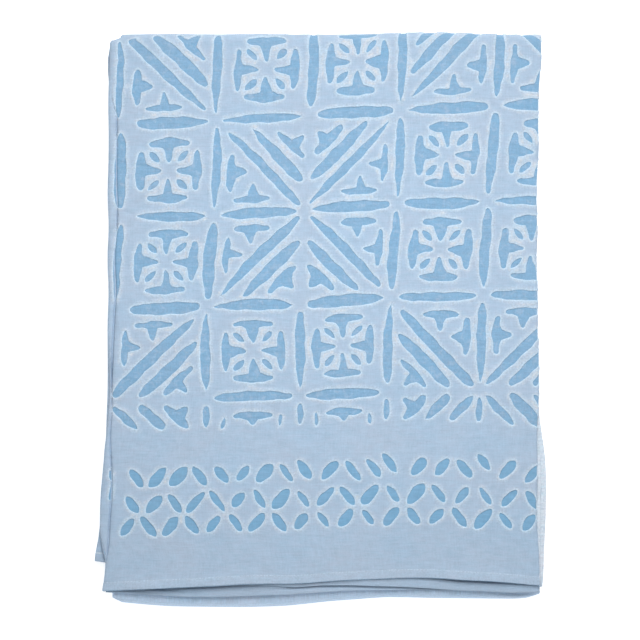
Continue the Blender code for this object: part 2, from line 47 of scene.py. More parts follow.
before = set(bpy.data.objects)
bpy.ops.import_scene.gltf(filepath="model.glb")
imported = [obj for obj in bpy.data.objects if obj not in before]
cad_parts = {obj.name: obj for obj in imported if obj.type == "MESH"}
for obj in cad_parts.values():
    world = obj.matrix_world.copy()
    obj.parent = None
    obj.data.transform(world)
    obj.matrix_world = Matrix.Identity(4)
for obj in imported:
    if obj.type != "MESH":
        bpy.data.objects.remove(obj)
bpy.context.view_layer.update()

MM = 0.001


# Sizes of the folding

# The layers and bends are the solids' own. The lines of the folds and hems follow the real cloth
# more closely. They lie within about 4 mm of the solids' lines, but for the upper strip's left
# fold near the lower corner, which lies up to 13 mm further out.
LAYER = 1.0 * MM
GAP = 0.4 * MM
STRIP = 4 * LAYER + 3 * GAP
STRIP_GAP = 0.5 * MM
BIG_BEND = STRIP / 2 - LAYER / 2
SMALL_BEND = (LAYER + GAP) / 2
BEND_HEIGHT = STRIP / 2
TOP_BEND_HEIGHT = STRIP - LAYER - GAP / 2
OUTER_TURN = STRIP + 1.5 * STRIP_GAP
INNER_TURN = STRIP + 0.5 * STRIP_GAP
LOWER_TURN = 0.5 * STRIP_GAP
TOP_LINE = 355.0 * MM
LOWEST = -360.0 * MM
BORDER_TOP = -120.0 * MM
LOWER_HEMS = -325.0 * MM
TOP_CORNER_INSET = 13.5 * MM
LOWER_CORNER_INSET = 10.0 * MM
FACE_HALF = 270 * MM
TURN_CENTRE = 2 * STRIP + 1.5 * STRIP_GAP
FACE_BACK = 3 * STRIP + 3 * STRIP_GAP
STACK = 4 * STRIP + 3 * STRIP_GAP
# From the places in the tables to the frame, whose origin is under the middle of the box
CENTRE = Vector((-0.816, -0.124, 0.0)) * MM

# The edges of the strip on each of the four legs that the second folding gives, leg 1 on top.
# y is the place along the leg, left the big fold, right the small fold, free the side hem, and
# lag how far the upper of the two side hems stays behind the lower one.
Edge = namedtuple("Edge", "y left right free lag")
LEG_EDGES = {
    1: [
        Edge(-350, -280, 282, 284.5, 3),
        Edge(-315, -276, 280, 286.5, 4),
        Edge(-303, -275.5, 279.8, 287, 4),
        Edge(-290, -279.5, 279.6, 287.5, 5),
        Edge(-275, -282, 279.3, 289, 6),
        Edge(-240, -281, 278.5, 291, 7),
        Edge(-205, -280.3, 278, 291, 7),
        Edge(-170, -277, 278, 289, 6),
        Edge(-145, -273.5, 278, 286, 6),
        Edge(-90, -270, 280, 277.5, 3),
        Edge(-30, -272, 280.5, 274, 3),
        Edge(40, -272, 278, 273, 3),
        Edge(140, -272, 277.5, 273, 3),
        Edge(205, -272, 278.8, 273, 3),
        Edge(290, -270, 281.8, 273, 3),
        Edge(355, -270, 283.5, 275, 3),
    ],
    4: [
        Edge(-360, -268, 283.5, 275, 3),
        Edge(-330, -268, 282, 275, 3),
        Edge(-120, -270, 276, 270, 3),
        Edge(120, -270, 276, 272, 3),
        Edge(280, -270, 279, 273, 3),
        Edge(312, -273.5, 280, 273, 3),
        Edge(338, -275, 281, 274, 3),
        Edge(355, -270, 283, 275, 3),
    ],
    3: [
        Edge(-360, -268, 283, 275, 3),
        Edge(-330, -268, 282, 275, 3),
        Edge(-120, -272, 276, 270, 3),
        Edge(120, -271, 275, 268, 3),
        Edge(355, -270, 280, 274, 3),
    ],
    2: [
        Edge(-312, -291.5, 276, 279, 3),
        Edge(-293, -290, 276, 279, 3),
        Edge(-272, -284.5, 276, 278, 3),
        Edge(-209, -281.5, 275, 276, 3),
        Edge(-180, -279.5, 275, 275, 3),
        Edge(-145, -275.5, 275, 274, 3),
        Edge(20, -273, 275, 272, 3),
        Edge(180, -272, 276, 272, 3),
        Edge(355, -270, 280, 274, 3),
    ],
}

# The hem of each of the strip's four layers at the end of leg 1: places across and along
Place = namedtuple("Place", "x y")
HEMS = {
    1: [Place(-278, -349), Place(-103, -340), Place(90, -332), Place(154, -332), Place(282, -341)],
    2: [Place(-278, -343), Place(-60, -341), Place(-40, -342.5), Place(5, -340), Place(80, -342),
        Place(140, -345), Place(185, -348), Place(245, -351), Place(268, -352.5),
        Place(276, -352.5), Place(280, -350.5), Place(283, -346)],
    3: [Place(-269, -350), Place(-178, -356), Place(-90, -355), Place(10, -349), Place(58, -347),
        Place(282, -348)],
    4: [Place(-278, -344), Place(0, -343), Place(262, -346), Place(276, -345), Place(282, -341.5)],
}
# How far the top layer's hem stands up from the layer under it, from left to right
Lift = namedtuple("Lift", "x rise")
HEM_LIFTS = [Lift(-290, 0), Lift(-272, 0.4), Lift(-245, 1.8), Lift(-222, 2.8), Lift(-205, 4.4),
             Lift(-190, 2.8), Lift(-150, 2.4), Lift(-100, 2.1), Lift(-80, 1.8), Lift(-55, 0.5),
             Lift(20, 0.6), Lift(60, 0.2), Lift(130, 0.3), Lift(148, 0.8), Lift(168, 2.6),
             Lift(200, 3.0), Lift(235, 1.9), Lift(262, 1.0), Lift(285, 0.6)]
# How far the layers under the second layer's hem sink beside it
HEM_DIPS = [Lift(-290, 0), Lift(-75, 0.3), Lift(-50, 2.4), Lift(-30, 4.0), Lift(20, 4.4),
            Lift(100, 3.8), Lift(200, 3.6), Lift(262, 3.4), Lift(285, 0.4)]

# The hem of the strip at the end of leg 2, and the bend at the bottom
BACK_HEM = [Place(-290, -309), Place(-278, -313), Place(0, -306), Place(282, -300)]
LOWER_LINE = [Place(-270, -356), Place(-258, -358.5), Place(-195, -363.8), Place(-90, -365),
              Place(-46, -363.5), Place(10, -357.5), Place(85, -351.5), Place(150, -353),
              Place(256, -353.8), Place(268, -353), Place(278, -351), Place(283, -345)]

# How far the top fold bulges past its line
TOP_BULGES = [Lift(-290, 0), Lift(-262, 0.6), Lift(-242, 1.8), Lift(-139, 1.5), Lift(-36, 0.5),
              Lift(20, 0), Lift(41, 0.8), Lift(67, 2.2), Lift(92, 3.1), Lift(135, 3.7),
              Lift(175, 3.9), Lift(205, 2.4), Lift(246, 1.2), Lift(290, 1.0)]

# The sharp crease beside the left fold, where the top layer steps down: places from the top,
# with the depth of its groove and how far the cloth left of it lies lower
Dent = namedtuple("Dent", "x y groove step")
CREASE = [Dent(-267.5, 320, 0, 0), Dent(-267, 285, 0.5, 0.3), Dent(-260.5, 263, 2.4, 1.3),
          Dent(-262.7, 206, 2.4, 1.4), Dent(-260.5, 149, 2.2, 1.4), Dent(-263.9, 94, 2.0, 1.5),
          Dent(-263.7, 35, 4.6, 1.5), Dent(-264.6, -12, 5.6, 1.5), Dent(-266.9, -40, 5.6, 1.4),
          Dent(-268.3, -80, 4.4, 1.0), Dent(-268.8, -110, 2.2, 0.6), Dent(-269.8, -150, 1.8, 0.2),
          Dent(-268.7, -205, 3.0, 0.5), Dent(-267.4, -230, 3.4, 0.6), Dent(-268.8, -255, 3.4, 0.5),
          Dent(-270.6, -277, 3.6, 0.5), Dent(-272.4, -292, 3.8, 0.4), Dent(-274.6, -304, 1.8, 0.2),
          Dent(-277, -318, 0, 0)]

# How the folded cloth settles: the shares of its long and short waves, the width of the crease's
# groove, the place and width of its step, how far above the top hem its lift starts, how wide the
# dents beside the hems are, where the top fold's bulge starts, and how far the layers wander
WAVE_SHARES = (0.7, 0.35)
GROOVE_REACH = 1.1 * MM
STEP_FROM = 1.2 * MM
STEP_WIDTH = 1.8 * MM
LIFT_LENGTH = 24 * MM
SAG_REACH = 2.3 * MM
BULGE_FROM = 300 * MM
BULGE_LENGTH = 60 * MM
LAYER_WANDER = 0.9 * MM

# Short creases and pulled threads of the top cloth, in millimetres: their ends, their depth below
# the face, or their height above it where that is negative, and their width
Crease = namedtuple("Crease", "x y to_x to_y depth width")
SMALL_CREASES = [
    Crease(-256, 140, -240, 135, 0.7, 1.4),
    Crease(245, 271, 253, 263, 0.6, 1.5),
    Crease(-266, 200, -261, 196, 0.6, 1.5),
    Crease(-265, 131, -259, 134, 0.6, 1.4),
    Crease(-106, -176, -98, -177, 0.4, 1.0),
    Crease(-186, -152, -182, -160, -0.4, 1.2),
    Crease(-179, -152, -182, -160, -0.4, 1.2),
    Crease(-182, -160, -181, -170, -0.4, 1.2),
    Crease(97, 322, 112, 321, 0.35, 1.6),
    Crease(30, -30, 34, -38, 0.4, 1.4),
]


# The pattern, in cells

# Where the lines of the grid cross on the face, row by row from the top and from left to right, in
# millimetres. Row 0 and the lines past the ends of the table are carried on from these.
CROSSINGS = {
    1: [(-255, 249), (-133, 256), (-11.5, 264.5), (105, 269.5), (227, 275.5)],
    2: [(-256.5, 132.5), (-136.5, 134), (-20, 143), (99, 149), (215, 152)],
    3: [(-265, 11), (-145.5, 17), (-26, 21.5), (91, 30), (209.5, 31)],
    4: [(-275, -106.5), (-147, -101), (-26.5, -95.5), (85, -91.5), (204, -90)],
}
LAST_ROW = 4
LAST_COLUMN = 4
CELL = 119 * MM
# How much of their lean the upright lines keep past the table's first and last row
OUTER_LEAN = 0.4

# How far the windows of a cell, or the bar on its upper or left edge, stand off that plan, in
# millimetres, and how wide such a bar is
CELL_SHIFTS = {(1, 0): (1.6, 1.2), (2, 0): (-0.8, 4.0), (3, 0): (-0.6, 1.6), (0, 1): (0, -1.5),
               (1, 1): (0, -2.0), (3, 1): (0.8, 0.5), (0, 2): (2.2, 0.6), (0, 3): (-1.5, -0.4),
               (2, 3): (-1.6, 0.8), (3, 3): (0, -2.0), (4, 1): (2.5, 0), (4, 3): (0, -1.2)}
BAR_CHANGES = {("upright", 0, 0): (-3.2, 0, 0.78), ("upright", 0, 1): (-0.8, 0, 1.0),
               ("upright", 0, 2): (-0.2, 0, 0.8)}

# The pattern repeats every four cells. A star stands on two crossings of each repeat, with its
# forked windows above and below it where it is upright, and beside it where it is level.
REPEAT = 4
STARS = {(0, 0): "level", (2, 2): "upright"}

# Sizes within a cell as shares of it, and how much hand cutting varies widths and places
BAR_ENDS = (0.08, 0.91)
FIRST_BAR_START = 0.17
BAR_WIDTH = 0.109
LAST_BAR_WIDTH = 0.6
TEE_OUT = 0.295
TEE_BAR = 0.42
TEE_TIP = 0.085
TEE_WIDTH = 0.093
TEE_BASE = 0.118
PETAL_REACH = (0.10, 0.205)
PETAL_WIDTH = 0.062
WIDTH_PLAY = 0.18
PLACE_PLAY = 0.006

# A quarter of a star, in its cell seen from the star: a runs towards the forked windows. Each part
# is a bar between two places, and a part with a tip has a prong that ends there.
Part = namedtuple("Part", "a b to_a to_b tip_a tip_b width")
STAR_QUARTER = [
    Part(0.07, 0.06, 0.88, 0.87, None, None, 0.10),
    Part(0.33, 0.05, 0.90, 0.62, None, None, 0.112),
    Part(0.585, 0.06, 0.865, 0.35, 0.815, 0.08, 0.09),
    Part(0.165, 0.39, 0.165, 0.78, 0.325, 0.585, 0.08),
    Part(0.255, 0.83, 0.645, 0.83, 0.45, 0.66, 0.08),
]
STAR_TEE_BASE = 0.115

# Rows of border leaves, in millimetres: how far above the hem, the first one's place, the step to
# the next, and how the leaves lean by turns, R to the right and L to the left. The bow draws the
# middle of a row to the left.
Row = namedtuple("Row", "above first_x pitch bow leans")
LEAF_ROWS = [
    Row(143, -237, 28.3, 6, "LRRLLRRLLRLLLRRLLRR"),
    Row(109, -240, 28.5, 9.5, "LR"),
    Row(80, -247, 28.7, 6, "RL"),
]
# The angle of a leaf in degrees and its width in millimetres. Then how many a row has, how long
# they are, and between which shares of that their sizes vary.
Leaf = namedtuple("Leaf", "angle width")
LEAVES = {"R": Leaf(50, 12.0), "L": Leaf(127, 9.9)}
LEAF_COUNT = 19
LEAF_LENGTH = 27.5 * MM
LEAF_SIZES = (0.8, 1.2)
# Leaves that stand off their row, by row and place in it: how far to the right and up
LEAF_SHIFTS = {(0, 8): (-4, 3), (0, 10): (2, -2), (0, 12): (-8, 5), (0, 16): (-4, 10),
               (0, 17): (-2, 3)}

# Small cuts besides: the remains of side windows along the closing line, and two leaves that the
# left fold nearly hides. Their ends, and how wide they are, in millimetres
Cut = namedtuple("Cut", "x y to_x to_y width")
SMALL_CUTS = [
    Cut(-124, -125, -126.5, -139, 4.3),
    Cut(-51, -120, -52, -134, 4.5),
    Cut(-6, -118.5, -5.5, -133.5, 4.3),
    Cut(62.5, -119.5, 64, -133, 4.2),
    Cut(-271.4, -193, -268.8, -206, 4.2),
    Cut(-268.4, -212, -270.0, -231, 4.2),
]

# How far above the hem the last row of cells is cut short, how long a window has to be to stay
# there, and the bars that the left fold hides
FIELD_ABOVE_HEM = 205 * MM
SHORTEST_WINDOW = 10 * MM
HIDDEN_BARS = {(0, 3), (0, 4)}

# The shapes of windows: how often each of the two ends is blunt, how square a blunt end is, how
# slim the tip of a pointed one is, and where along the window it is widest
Ends = namedtuple("Ends", "blunt square tip widest")
BAR_SHAPE = Ends((0.6, 0.6), (2.1, 3.2), 0.78, (0.36, 0.64))
STAR_BAR_SHAPE = Ends((0.9, 0.8), (2.1, 3.2), 0.78, (0.28, 0.55))
PETAL_SHAPE = Ends((0.2, 0.2), (1.8, 2.2), 0.8, (0.36, 0.64))
LEAF_SHAPE = Ends((0.35, 0.35), (1.8, 2.2), 0.68, (0.42, 0.58))
CUT_SHAPE = Ends((0.3, 0.3), (2.1, 3.2), 0.78, (0.36, 0.64))
# How full a pointed end is behind its tip, and how far a window is bowed, as a share of its length
POINTED = (1.9, 2.9)
BAR_BOW = 0.014
BAR_STEPS = 34

# How the hand-cut outlines waver: waves of these lengths, each this far to both sides, and less
# where the way round the window is shorter than this
WAVER = ((33 * MM, 0.55 * MM), (15 * MM, 0.24 * MM), (7 * MM, 0.09 * MM))
FULL_WAVER_ROUND = 120 * MM
# Spacing of the points along an outline, how far it may turn between two of them, and how wide a
# window has to be to be kept
OUTLINE_STEP = 2.8 * MM
OUTLINE_TURN = math.radians(30)
LEAST_WINDOW = 2.5 * MM

# Rows of points round each window: how far from its edge in millimetres, and whether every point
# of the outline has one or every second. The cloth's folded edge rises within the first of them.
Round = namedtuple("Round", "out every")
ROUNDS = [Round(0.35, 1), Round(0.9, 1), Round(1.9, 1), Round(4.0, 2), Round(6.4, 2), Round(8.4, 2)]

# Places in millimetres where the meshes need points: up a hem and beside the crease, on the ground
# cloth and on the applique cloth, and beside a small crease
HEM_STEPS = (0.0, 0.25, 0.8, 2.0, 3.5, 5.0, 6.5, 8.0, 9.5, 10.5, 11.5, 12.5, 13.5)
PANEL_HEM_STEPS = (0.5, 1.2, 3.0, 7.0, 10.2, 11.0, 11.8, 12.8, 14.2)
CREASE_STEPS = (-3.0, -1.6, -0.9, -0.45, 0.0, 0.45, 0.9, 1.6, 3.0)
PANEL_CREASE_STEPS = (-2.2, -1.5, -0.9, -0.4, 0.0, 0.4, 0.9, 1.5, 2.2)
SMALL_CREASE_STEPS = (-2.2, -1.0, 0.0, 1.0, 2.2)
# Steps across the ground cloth's face, its other layers and its bends, and how far its texture
# goes on from one ring of points to the next
FACE_STEPS = 64
RUN_STEPS = 16
BIG_BEND_STEPS = 12
SMALL_BEND_STEPS = 8
RING_SPACING = 7 * MM
# Spacing of the applique cloth's points between the windows, along the hem, round the top fold and
# down the crease, and round its left and right bends
GRID_SPACING = 6.2 * MM
HEM_SPACING = 3.2 * MM
TOP_SPACING = 2.6 * MM
CREASE_SPACING = 3.0 * MM
LEFT_BEND_SPACING = 1.25 * MM
RIGHT_BEND_SPACING = 0.6 * MM
# Points along each side and along the upper edge of the flat panel, and along its hem
SIDE_POINTS = 149
UPPER_POINTS = 120
HEM_POINTS = 240

# How the applique cloth lies round its windows: where its turned edges start on the scale of
# crowding and how softly, the same for edges that bunch, and how far from a window it is palest
TURNED_FROM = 0.17
TURNED_FADE = 0.34
BUNCHED_FROM = 1.05
BUNCHED_FADE = 0.6
# The palest rim is partly a painted highlight of the rounded folded edge
PALEST_REACH = 2.3 * MM
PALEST_FADE = 0.9 * MM
# How high it stands where it bunches, drapes, and at the hem and its seam. Puckers have a height
# in millimetres everywhere, and more of it where an edge is turned and where it bunches.
BUNCHED_RISE = 0.25 * MM
PUCKERS = (0.05, 0.08, 0.08)
DRAPE_RISE = 0.12 * MM
HEM_RISE = 0.28 * MM
SEAM_DEPTH = 0.25 * MM
SEAM_INSET = 0.4 * MM
SEAM_REACH = 0.7 * MM
EDGE_ROLL = 1.1 * MM
HEM_ROLL = 1.2 * MM

# The running stitches of the hem: their lengths and gaps in millimetres, their thickness and rise
STITCH_LENGTHS = (2.4, 3.2)
STITCH_GAPS = (0.9, 1.5)
STITCH_RADIUS = 0.24 * MM
STITCH_RISE = 0.12 * MM
STITCH_SIDES = 6
STITCH_RINGS = 5
STITCH_SEED = 31
FIRST_STITCH = 6 * MM


# The stage

# Soft light from a window at the top and slightly right, a soft box above, and a white card at the
# bottom that lights the hems, over white paper
Lamp = namedtuple("Lamp", "name place size target power")
LAMPS = [
    Lamp("window_light", (0.6, 3.0, 2.4), (2.0, 1.0), (0.0, 0.0, 0.0), 75.0),
    Lamp("soft_box", (0.04, 0.15, 0.85), (0.6, 0.5), (0.04, 0.15, 0.0), 4.2),
    Lamp("white_card", (0.0, -2.2, 0.6), (2.4, 0.9), (0.0, -0.3, 0.0), 12.5),
]
WHITE = (1.0, 1.0, 1.0, 1.0)
ROOM_LIGHT = 0.46
PAPER_GLOW = 0.52
FLOOR_REACH = 6.0
# The camera looks straight down: the width of the picture in pixels, the size of a pixel on the
# cloth, how far the bedspread lies beside the middle, and the sensor's width in millimetres
PICTURE_WIDTH = 640
PIXEL = 1.285 * MM
OFF_MIDDLE = 0.2 * PIXEL
CAMERA_HEIGHT = 4.6
SENSOR = 36.0


# What a user can change


def linear(code):
    """From a colour as it looks on a screen, in hex, to the linear light of the shaders."""
    values = [int(code[place:place + 2], 16) / 255 for place in (1, 3, 5)]
    return tuple(v / 12.92 if v < 0.04045 else ((v + 0.055) / 1.055) ** 2.4 for v in values)


class BedspreadCloth(bpy.types.PropertyGroup):
    """Sizes of the cloths and of the handwork."""

    thickness: FloatProperty(
        name="Folded layer", description="How thick each folded layer is drawn",
        default=0.78 * MM, min=0.3 * MM, max=1.1 * MM, unit="LENGTH", precision=4)
    edge_rise: FloatProperty(
        name="Edge", description="How far a turned edge stands above the ground cloth",
        default=1.25 * MM, min=0.3 * MM, max=2 * MM, unit="LENGTH", precision=4)
    plain_rise: FloatProperty(
        name="Single cloth", description="How far the single cloth stands above the ground cloth",
        default=0.95 * MM, min=0.2 * MM, max=2 * MM, unit="LENGTH", precision=4)
    hem: FloatProperty(
        name="Hem", description="Depth of the hems",
        default=11.5 * MM, min=4 * MM, max=25 * MM, unit="LENGTH", precision=4)
    crease: FloatProperty(
        name="Crease", description="How deep the crease beside the left fold is, as a share",
        default=1.0, min=0.0, max=1.5, subtype="FACTOR")
    unevenness: FloatProperty(
        name="Unevenness", description="Height of the soft waves of the folded face",
        default=0.9 * MM, min=0.0, max=2 * MM, unit="LENGTH", precision=4)
    seed: IntProperty(
        name="Seed", description="Picks another set of small differences of the hand work",
        default=11, min=0)


class BedspreadColours(bpy.types.PropertyGroup):
    """Colours of the two cottons."""

    single: FloatVectorProperty(
        name="Single lawn", description="The pale cloth lying once over the ground cloth",
        default=linear("#9FB3C8"), subtype="COLOR", size=3, min=0.0, max=1.0)
    doubled: FloatVectorProperty(
        name="Doubled lawn", description="The pale cloth where its edge is turned under",
        default=linear("#A6B8CB"), subtype="COLOR", size=3, min=0.0, max=1.0)
    bunched: FloatVectorProperty(
        name="Bunched lawn", description="The turned edge where it lies in several layers",
        default=linear("#BEC6CE"), subtype="COLOR", size=3, min=0.0, max=1.0)
    # The folded edge is paler partly because its cloth is doubled, and partly as a painted
    # highlight where its rounded edge catches the light
    edge: FloatVectorProperty(
        name="Folded edge", description="The folded edge of the pale cloth",
        default=linear("#B8CCDC"), subtype="COLOR", size=3, min=0.0, max=1.0)
    ground: FloatVectorProperty(
        name="Ground cambric", description="The blue cloth seen through the windows",
        default=linear("#7CA1BF"), subtype="COLOR", size=3, min=0.0, max=1.0)
    # Painted shade: the ground is drawn darker in the border's small windows
    shaded_ground: FloatVectorProperty(
        name="Deeper ground", description="The blue cloth seen through the border's windows",
        default=linear("#76A0BF"), subtype="COLOR", size=3, min=0.0, max=1.0)
    # Drawn paler near the free side hems of the lower layers at the right
    pale_side_hem: FloatVectorProperty(
        name="Worn hem", description="The washed-out side hems at the right",
        default=linear("#C6D2DD"), subtype="COLOR", size=3, min=0.0, max=1.0)
    # Painted light: the folds at the bottom of the stack are drawn paler, for light that their
    # bend, turned away from the lamps, does not get
    painted_light_fold: FloatVectorProperty(
        name="Worn fold", description="The faded folds at the bottom of the stack",
        default=linear("#BFD5EC"), subtype="COLOR", size=3, min=0.0, max=1.0)


# Lines, waves and other fields


def lerp(start, end, share):
    return start + (end - start) * share


def smooth(share):
    share = np.clip(share, 0.0, 1.0)
    return share * share * (3 - 2 * share)


def soft_line(rows, key, value, reach=16.0):
    """A line through a table in millimetres, its corners softened, as a function in metres."""
    rows = sorted(rows, key=lambda row: getattr(row, key))
    keys = [getattr(row, key) for row in rows]
    values = [getattr(row, value) for row in rows]
    places = np.arange(-420.0, 421.0, 3.0)
    weights = np.exp(-0.5 * (np.arange(-30, 31) * 3.0 / reach * 2) ** 2)
    inner = np.interp(places, keys, values)
    padded = np.concatenate([np.full(30, inner[0]), inner, np.full(30, inner[-1])])
    softened = np.convolve(padded, weights / weights.sum(), "valid")
    return lambda at: np.interp(np.asarray(at) / MM, places, softened) * MM


class Waves:
    """A smooth uneven field between about -1 and 1: a few long waves in seeded directions."""

    def __init__(self, seed, length, count=9):
        chance = random.Random(seed)
        self.waves = []
        for _ in range(count):
            heading = chance.uniform(0, 2 * math.pi)
            turns = 2 * math.pi / (length * chance.uniform(0.7, 1.6))
            phase = chance.uniform(0, 2 * math.pi)
            self.waves.append((math.cos(heading) * turns, math.sin(heading) * turns, phase))

    def __call__(self, x, y):
        total = sum(np.sin(x * kx + y * ky + phase) for kx, ky, phase in self.waves)
        return total / math.sqrt(len(self.waves) * 1.4)


SIDES = ("left", "right", "free", "lag")
EDGE_LINES = {leg: {name: soft_line(rows, "y", name) for name in SIDES}
              for leg, rows in LEG_EDGES.items()}
HEM_LINES = {layer: soft_line(rows, "x", "y") for layer, rows in HEMS.items()}
HEM_LIFT = soft_line(HEM_LIFTS, "x", "rise")
HEM_DIP = soft_line(HEM_DIPS, "x", "rise")
TOP_BULGE = soft_line(TOP_BULGES, "x", "rise")
BACK_HEM_LINE = soft_line(BACK_HEM, "x", "y")
LOWER_BEND = soft_line(LOWER_LINE, "x", "y")
CREASE_LINE = soft_line(CREASE, "y", "x", reach=8.0)
CREASE_GROOVE = soft_line(CREASE, "y", "groove")
CREASE_STEP = soft_line(CREASE, "y", "step")

LONG_WAVES = Waves(3, 150 * MM)
SHORT_WAVES = Waves(4, 48 * MM)
SIDE_WAVES = Waves(5, 95 * MM)
DEPTH_WAVES = Waves(6, 70 * MM)


def above(z, level):
    """1 above a level between two layers and 0 below it, with a soft change there."""
    return smooth((z - level) / GAP)


def settled(points, cloth):
    """Let the stack lie as soft cloth does: uneven in height and at its sides, creased at left."""
    x, y, z = points.T
    share = np.clip(z / STACK, 0.0, 1.3)
    waves = LONG_WAVES(x, y) * WAVE_SHARES[0] + SHORT_WAVES(x, y) * WAVE_SHARES[1]
    rise = cloth.unevenness * waves * share
    across = x - CREASE_LINE(y)
    step = smooth((STEP_FROM - across) / STEP_WIDTH)
    groove = np.exp(-(across / GROOVE_REACH) ** 2)
    rise -= cloth.crease * (CREASE_STEP(y) * step + CREASE_GROOVE(y) * groove) * share ** 1.5
    # The top layer lifts at its hem, and the layers under it and under the next one sink there
    top_layer = above(z, STACK - LAYER - GAP)
    above_hem = y - HEM_LINES[1](x)
    rise += HEM_LIFT(x) * smooth(1 - above_hem / LIFT_LENGTH) * top_layer * (y < 0)
    sag = np.exp(-((above_hem + 0.6 * MM) / SAG_REACH) ** 2)
    rise -= 2.0 * HEM_LIFT(x) * sag * (1 - top_layer) * share
    top_two = above(z, STACK - 2 * (LAYER + GAP))
    sag = np.exp(-((y - HEM_LINES[2](x) + 0.8 * MM) / SAG_REACH) ** 2)
    rise -= HEM_DIP(x) * sag * (1 - top_two) * share
    bulge = TOP_BULGE(x) * smooth((y - BULGE_FROM) / BULGE_LENGTH)
    # Each layer wanders by itself, the more the higher it lies
    level = z / (6 * MM)
    side = LAYER_WANDER * SIDE_WAVES(y, level * 20 * MM) * share
    along = LAYER_WANDER * DEPTH_WAVES(x, level * 16 * MM) * share
    return np.stack([x + side, y + along + bulge, z + rise], axis=1) + np.array(CENTRE)


# The ground cloth: a section across, swept along the four legs


def layer_height(layer):
    return (4.5 - layer) * LAYER + (4 - layer) * GAP


def hem_stations(length, count, near_end):
    """Shares along a run: close together in the hem at its end, and even in the rest."""
    shares = [step * MM / length for step in HEM_STEPS]
    shares += [lerp(shares[-1], 1.0, step / count) for step in range(1, count + 1)]
    return np.array(shares) if near_end else 1 - np.array(shares)[::-1]


def hem_thickness(away, cloth):
    """The sheet's thickness near a hem: rounded off at the edge, and doubled as far as it goes."""
    edge = np.sqrt(np.clip(away / (0.6 * MM), 0.06, 1.0))
    doubled = 1.0 + 0.35 * smooth((cloth.hem - away) / (1.2 * MM))
    return cloth.thickness * edge * doubled


def face_stations(left, right, y):
    """Places across the top layer, close together at the crease beside the left fold."""
    crease = float(CREASE_LINE(y))
    near = [crease + out * MM for out in CREASE_STEPS]
    stations = [left]
    for step, place in enumerate(near):
        stations.append(max(place, left + (step + 1) * 0.08 * MM))
    stations += [lerp(stations[-1], right, step / FACE_STEPS) for step in range(1, FACE_STEPS + 1)]
    return np.array(stations)


def section(left, right, free, lag, y, cloth):
    """The middle of the section from the free hem of its lowest layer, as arrays.

    They are the place across, the height, the heading, the two layers that a point lies between
    with its share of the second, and the thickness of the sheet there.
    """
    bend_x = left + BIG_BEND + LAYER / 2
    turn_x = right - SMALL_BEND - LAYER / 2
    rows = []

    def run(layer, places, heading, thickness):
        for x, thick in zip(places, np.broadcast_to(thickness, len(places))):
            rows.append((x, layer_height(layer), heading, layer, layer, 0.0, thick))

    def bend(x, height, radius, steps, start, sweep, layers):
        for step in range(1, steps):
            share = step / steps
            heading = start + sweep * share
            side = math.copysign(radius, sweep)
            rows.append((x + side * math.sin(heading), height - side * math.cos(heading), heading,
                         layers[0], layers[1], share, cloth.thickness))

    lowest = lerp(free, bend_x, hem_stations(free - bend_x, RUN_STEPS, True))
    run(4, lowest, math.pi, hem_thickness(free - lowest, cloth))
    bend(bend_x, BEND_HEIGHT, BIG_BEND, BIG_BEND_STEPS, math.pi, -math.pi, (4, 1))
    run(1, face_stations(bend_x, turn_x, y), 0.0, cloth.thickness)
    bend(turn_x, TOP_BEND_HEIGHT, SMALL_BEND, SMALL_BEND_STEPS, 0.0, -math.pi, (1, 2))
    run(2, lerp(turn_x, bend_x, np.linspace(0, 1, RUN_STEPS + 1)), math.pi, cloth.thickness)
    bend(bend_x, BEND_HEIGHT, SMALL_BEND, SMALL_BEND_STEPS, math.pi, math.pi, (2, 3))
    end = free - lag
    third = lerp(bend_x, end, hem_stations(end - bend_x, RUN_STEPS, False))
    run(3, third, 0.0, hem_thickness(end - third, cloth))
    return np.array(rows).T


def outline(edges, y, cloth, thin):
    """The closed outline of the section: one side of the cloth, then the other side back."""
    x, height, heading, first, second, share, thick = section(*edges, y, cloth)
    half = np.minimum(thick * thin / 2, LAYER / 2 + GAP * 0.35)
    sides = []
    for side in (1, -1):
        across = x - side * np.sin(heading) * half
        up = height + side * np.cos(heading) * half
        sides.append((across, up, first, second, share, np.full(len(x), float(side))))
    return [np.concatenate([upper, lower[::-1]]) for upper, lower in zip(*sides)]


class Leg:
    """A straight stretch of the strip, from the bend line at its top to its lower end."""

    def __init__(self, number, back, up, ends, hemmed):
        self.number = number
        self.back = back
        self.up = up
        self.ends = ends
        self.hemmed = hemmed

    def edges(self, y):
        return [float(EDGE_LINES[self.number][name](y)) for name in SIDES]

    def shares(self, count):
        """Shares from the top line to the lower end, close together where that is a hem."""
        length = TOP_LINE - float(self.ends[1](0.0))
        if self.hemmed:
            return hem_stations(length, count, False)
        return np.linspace(0.0, 1.0, count + 1)

    def ring(self, share, cloth):
        low = float(self.ends[1](0.0))
        y = lerp(TOP_LINE, low, share)
        away = (TOP_LINE - low) * (1 - share)
        thin = 1.0
        if self.hemmed:
            thin = float(hem_thickness(np.array(away), cloth)) / cloth.thickness
        x, height, first, second, blend, side = outline(self.edges(y), y, cloth, thin)
        ends = np.zeros_like(x)
        for layer in (1, 2, 3, 4):
            low_line = self.ends[layer](x)
            ends += np.where(first == layer, low_line * (1 - blend), 0.0)
            ends += np.where(second == layer, low_line * blend, 0.0)
        points = np.stack([x, lerp(TOP_LINE, ends, share), self.back + self.up * height], axis=1)
        return points, first, side


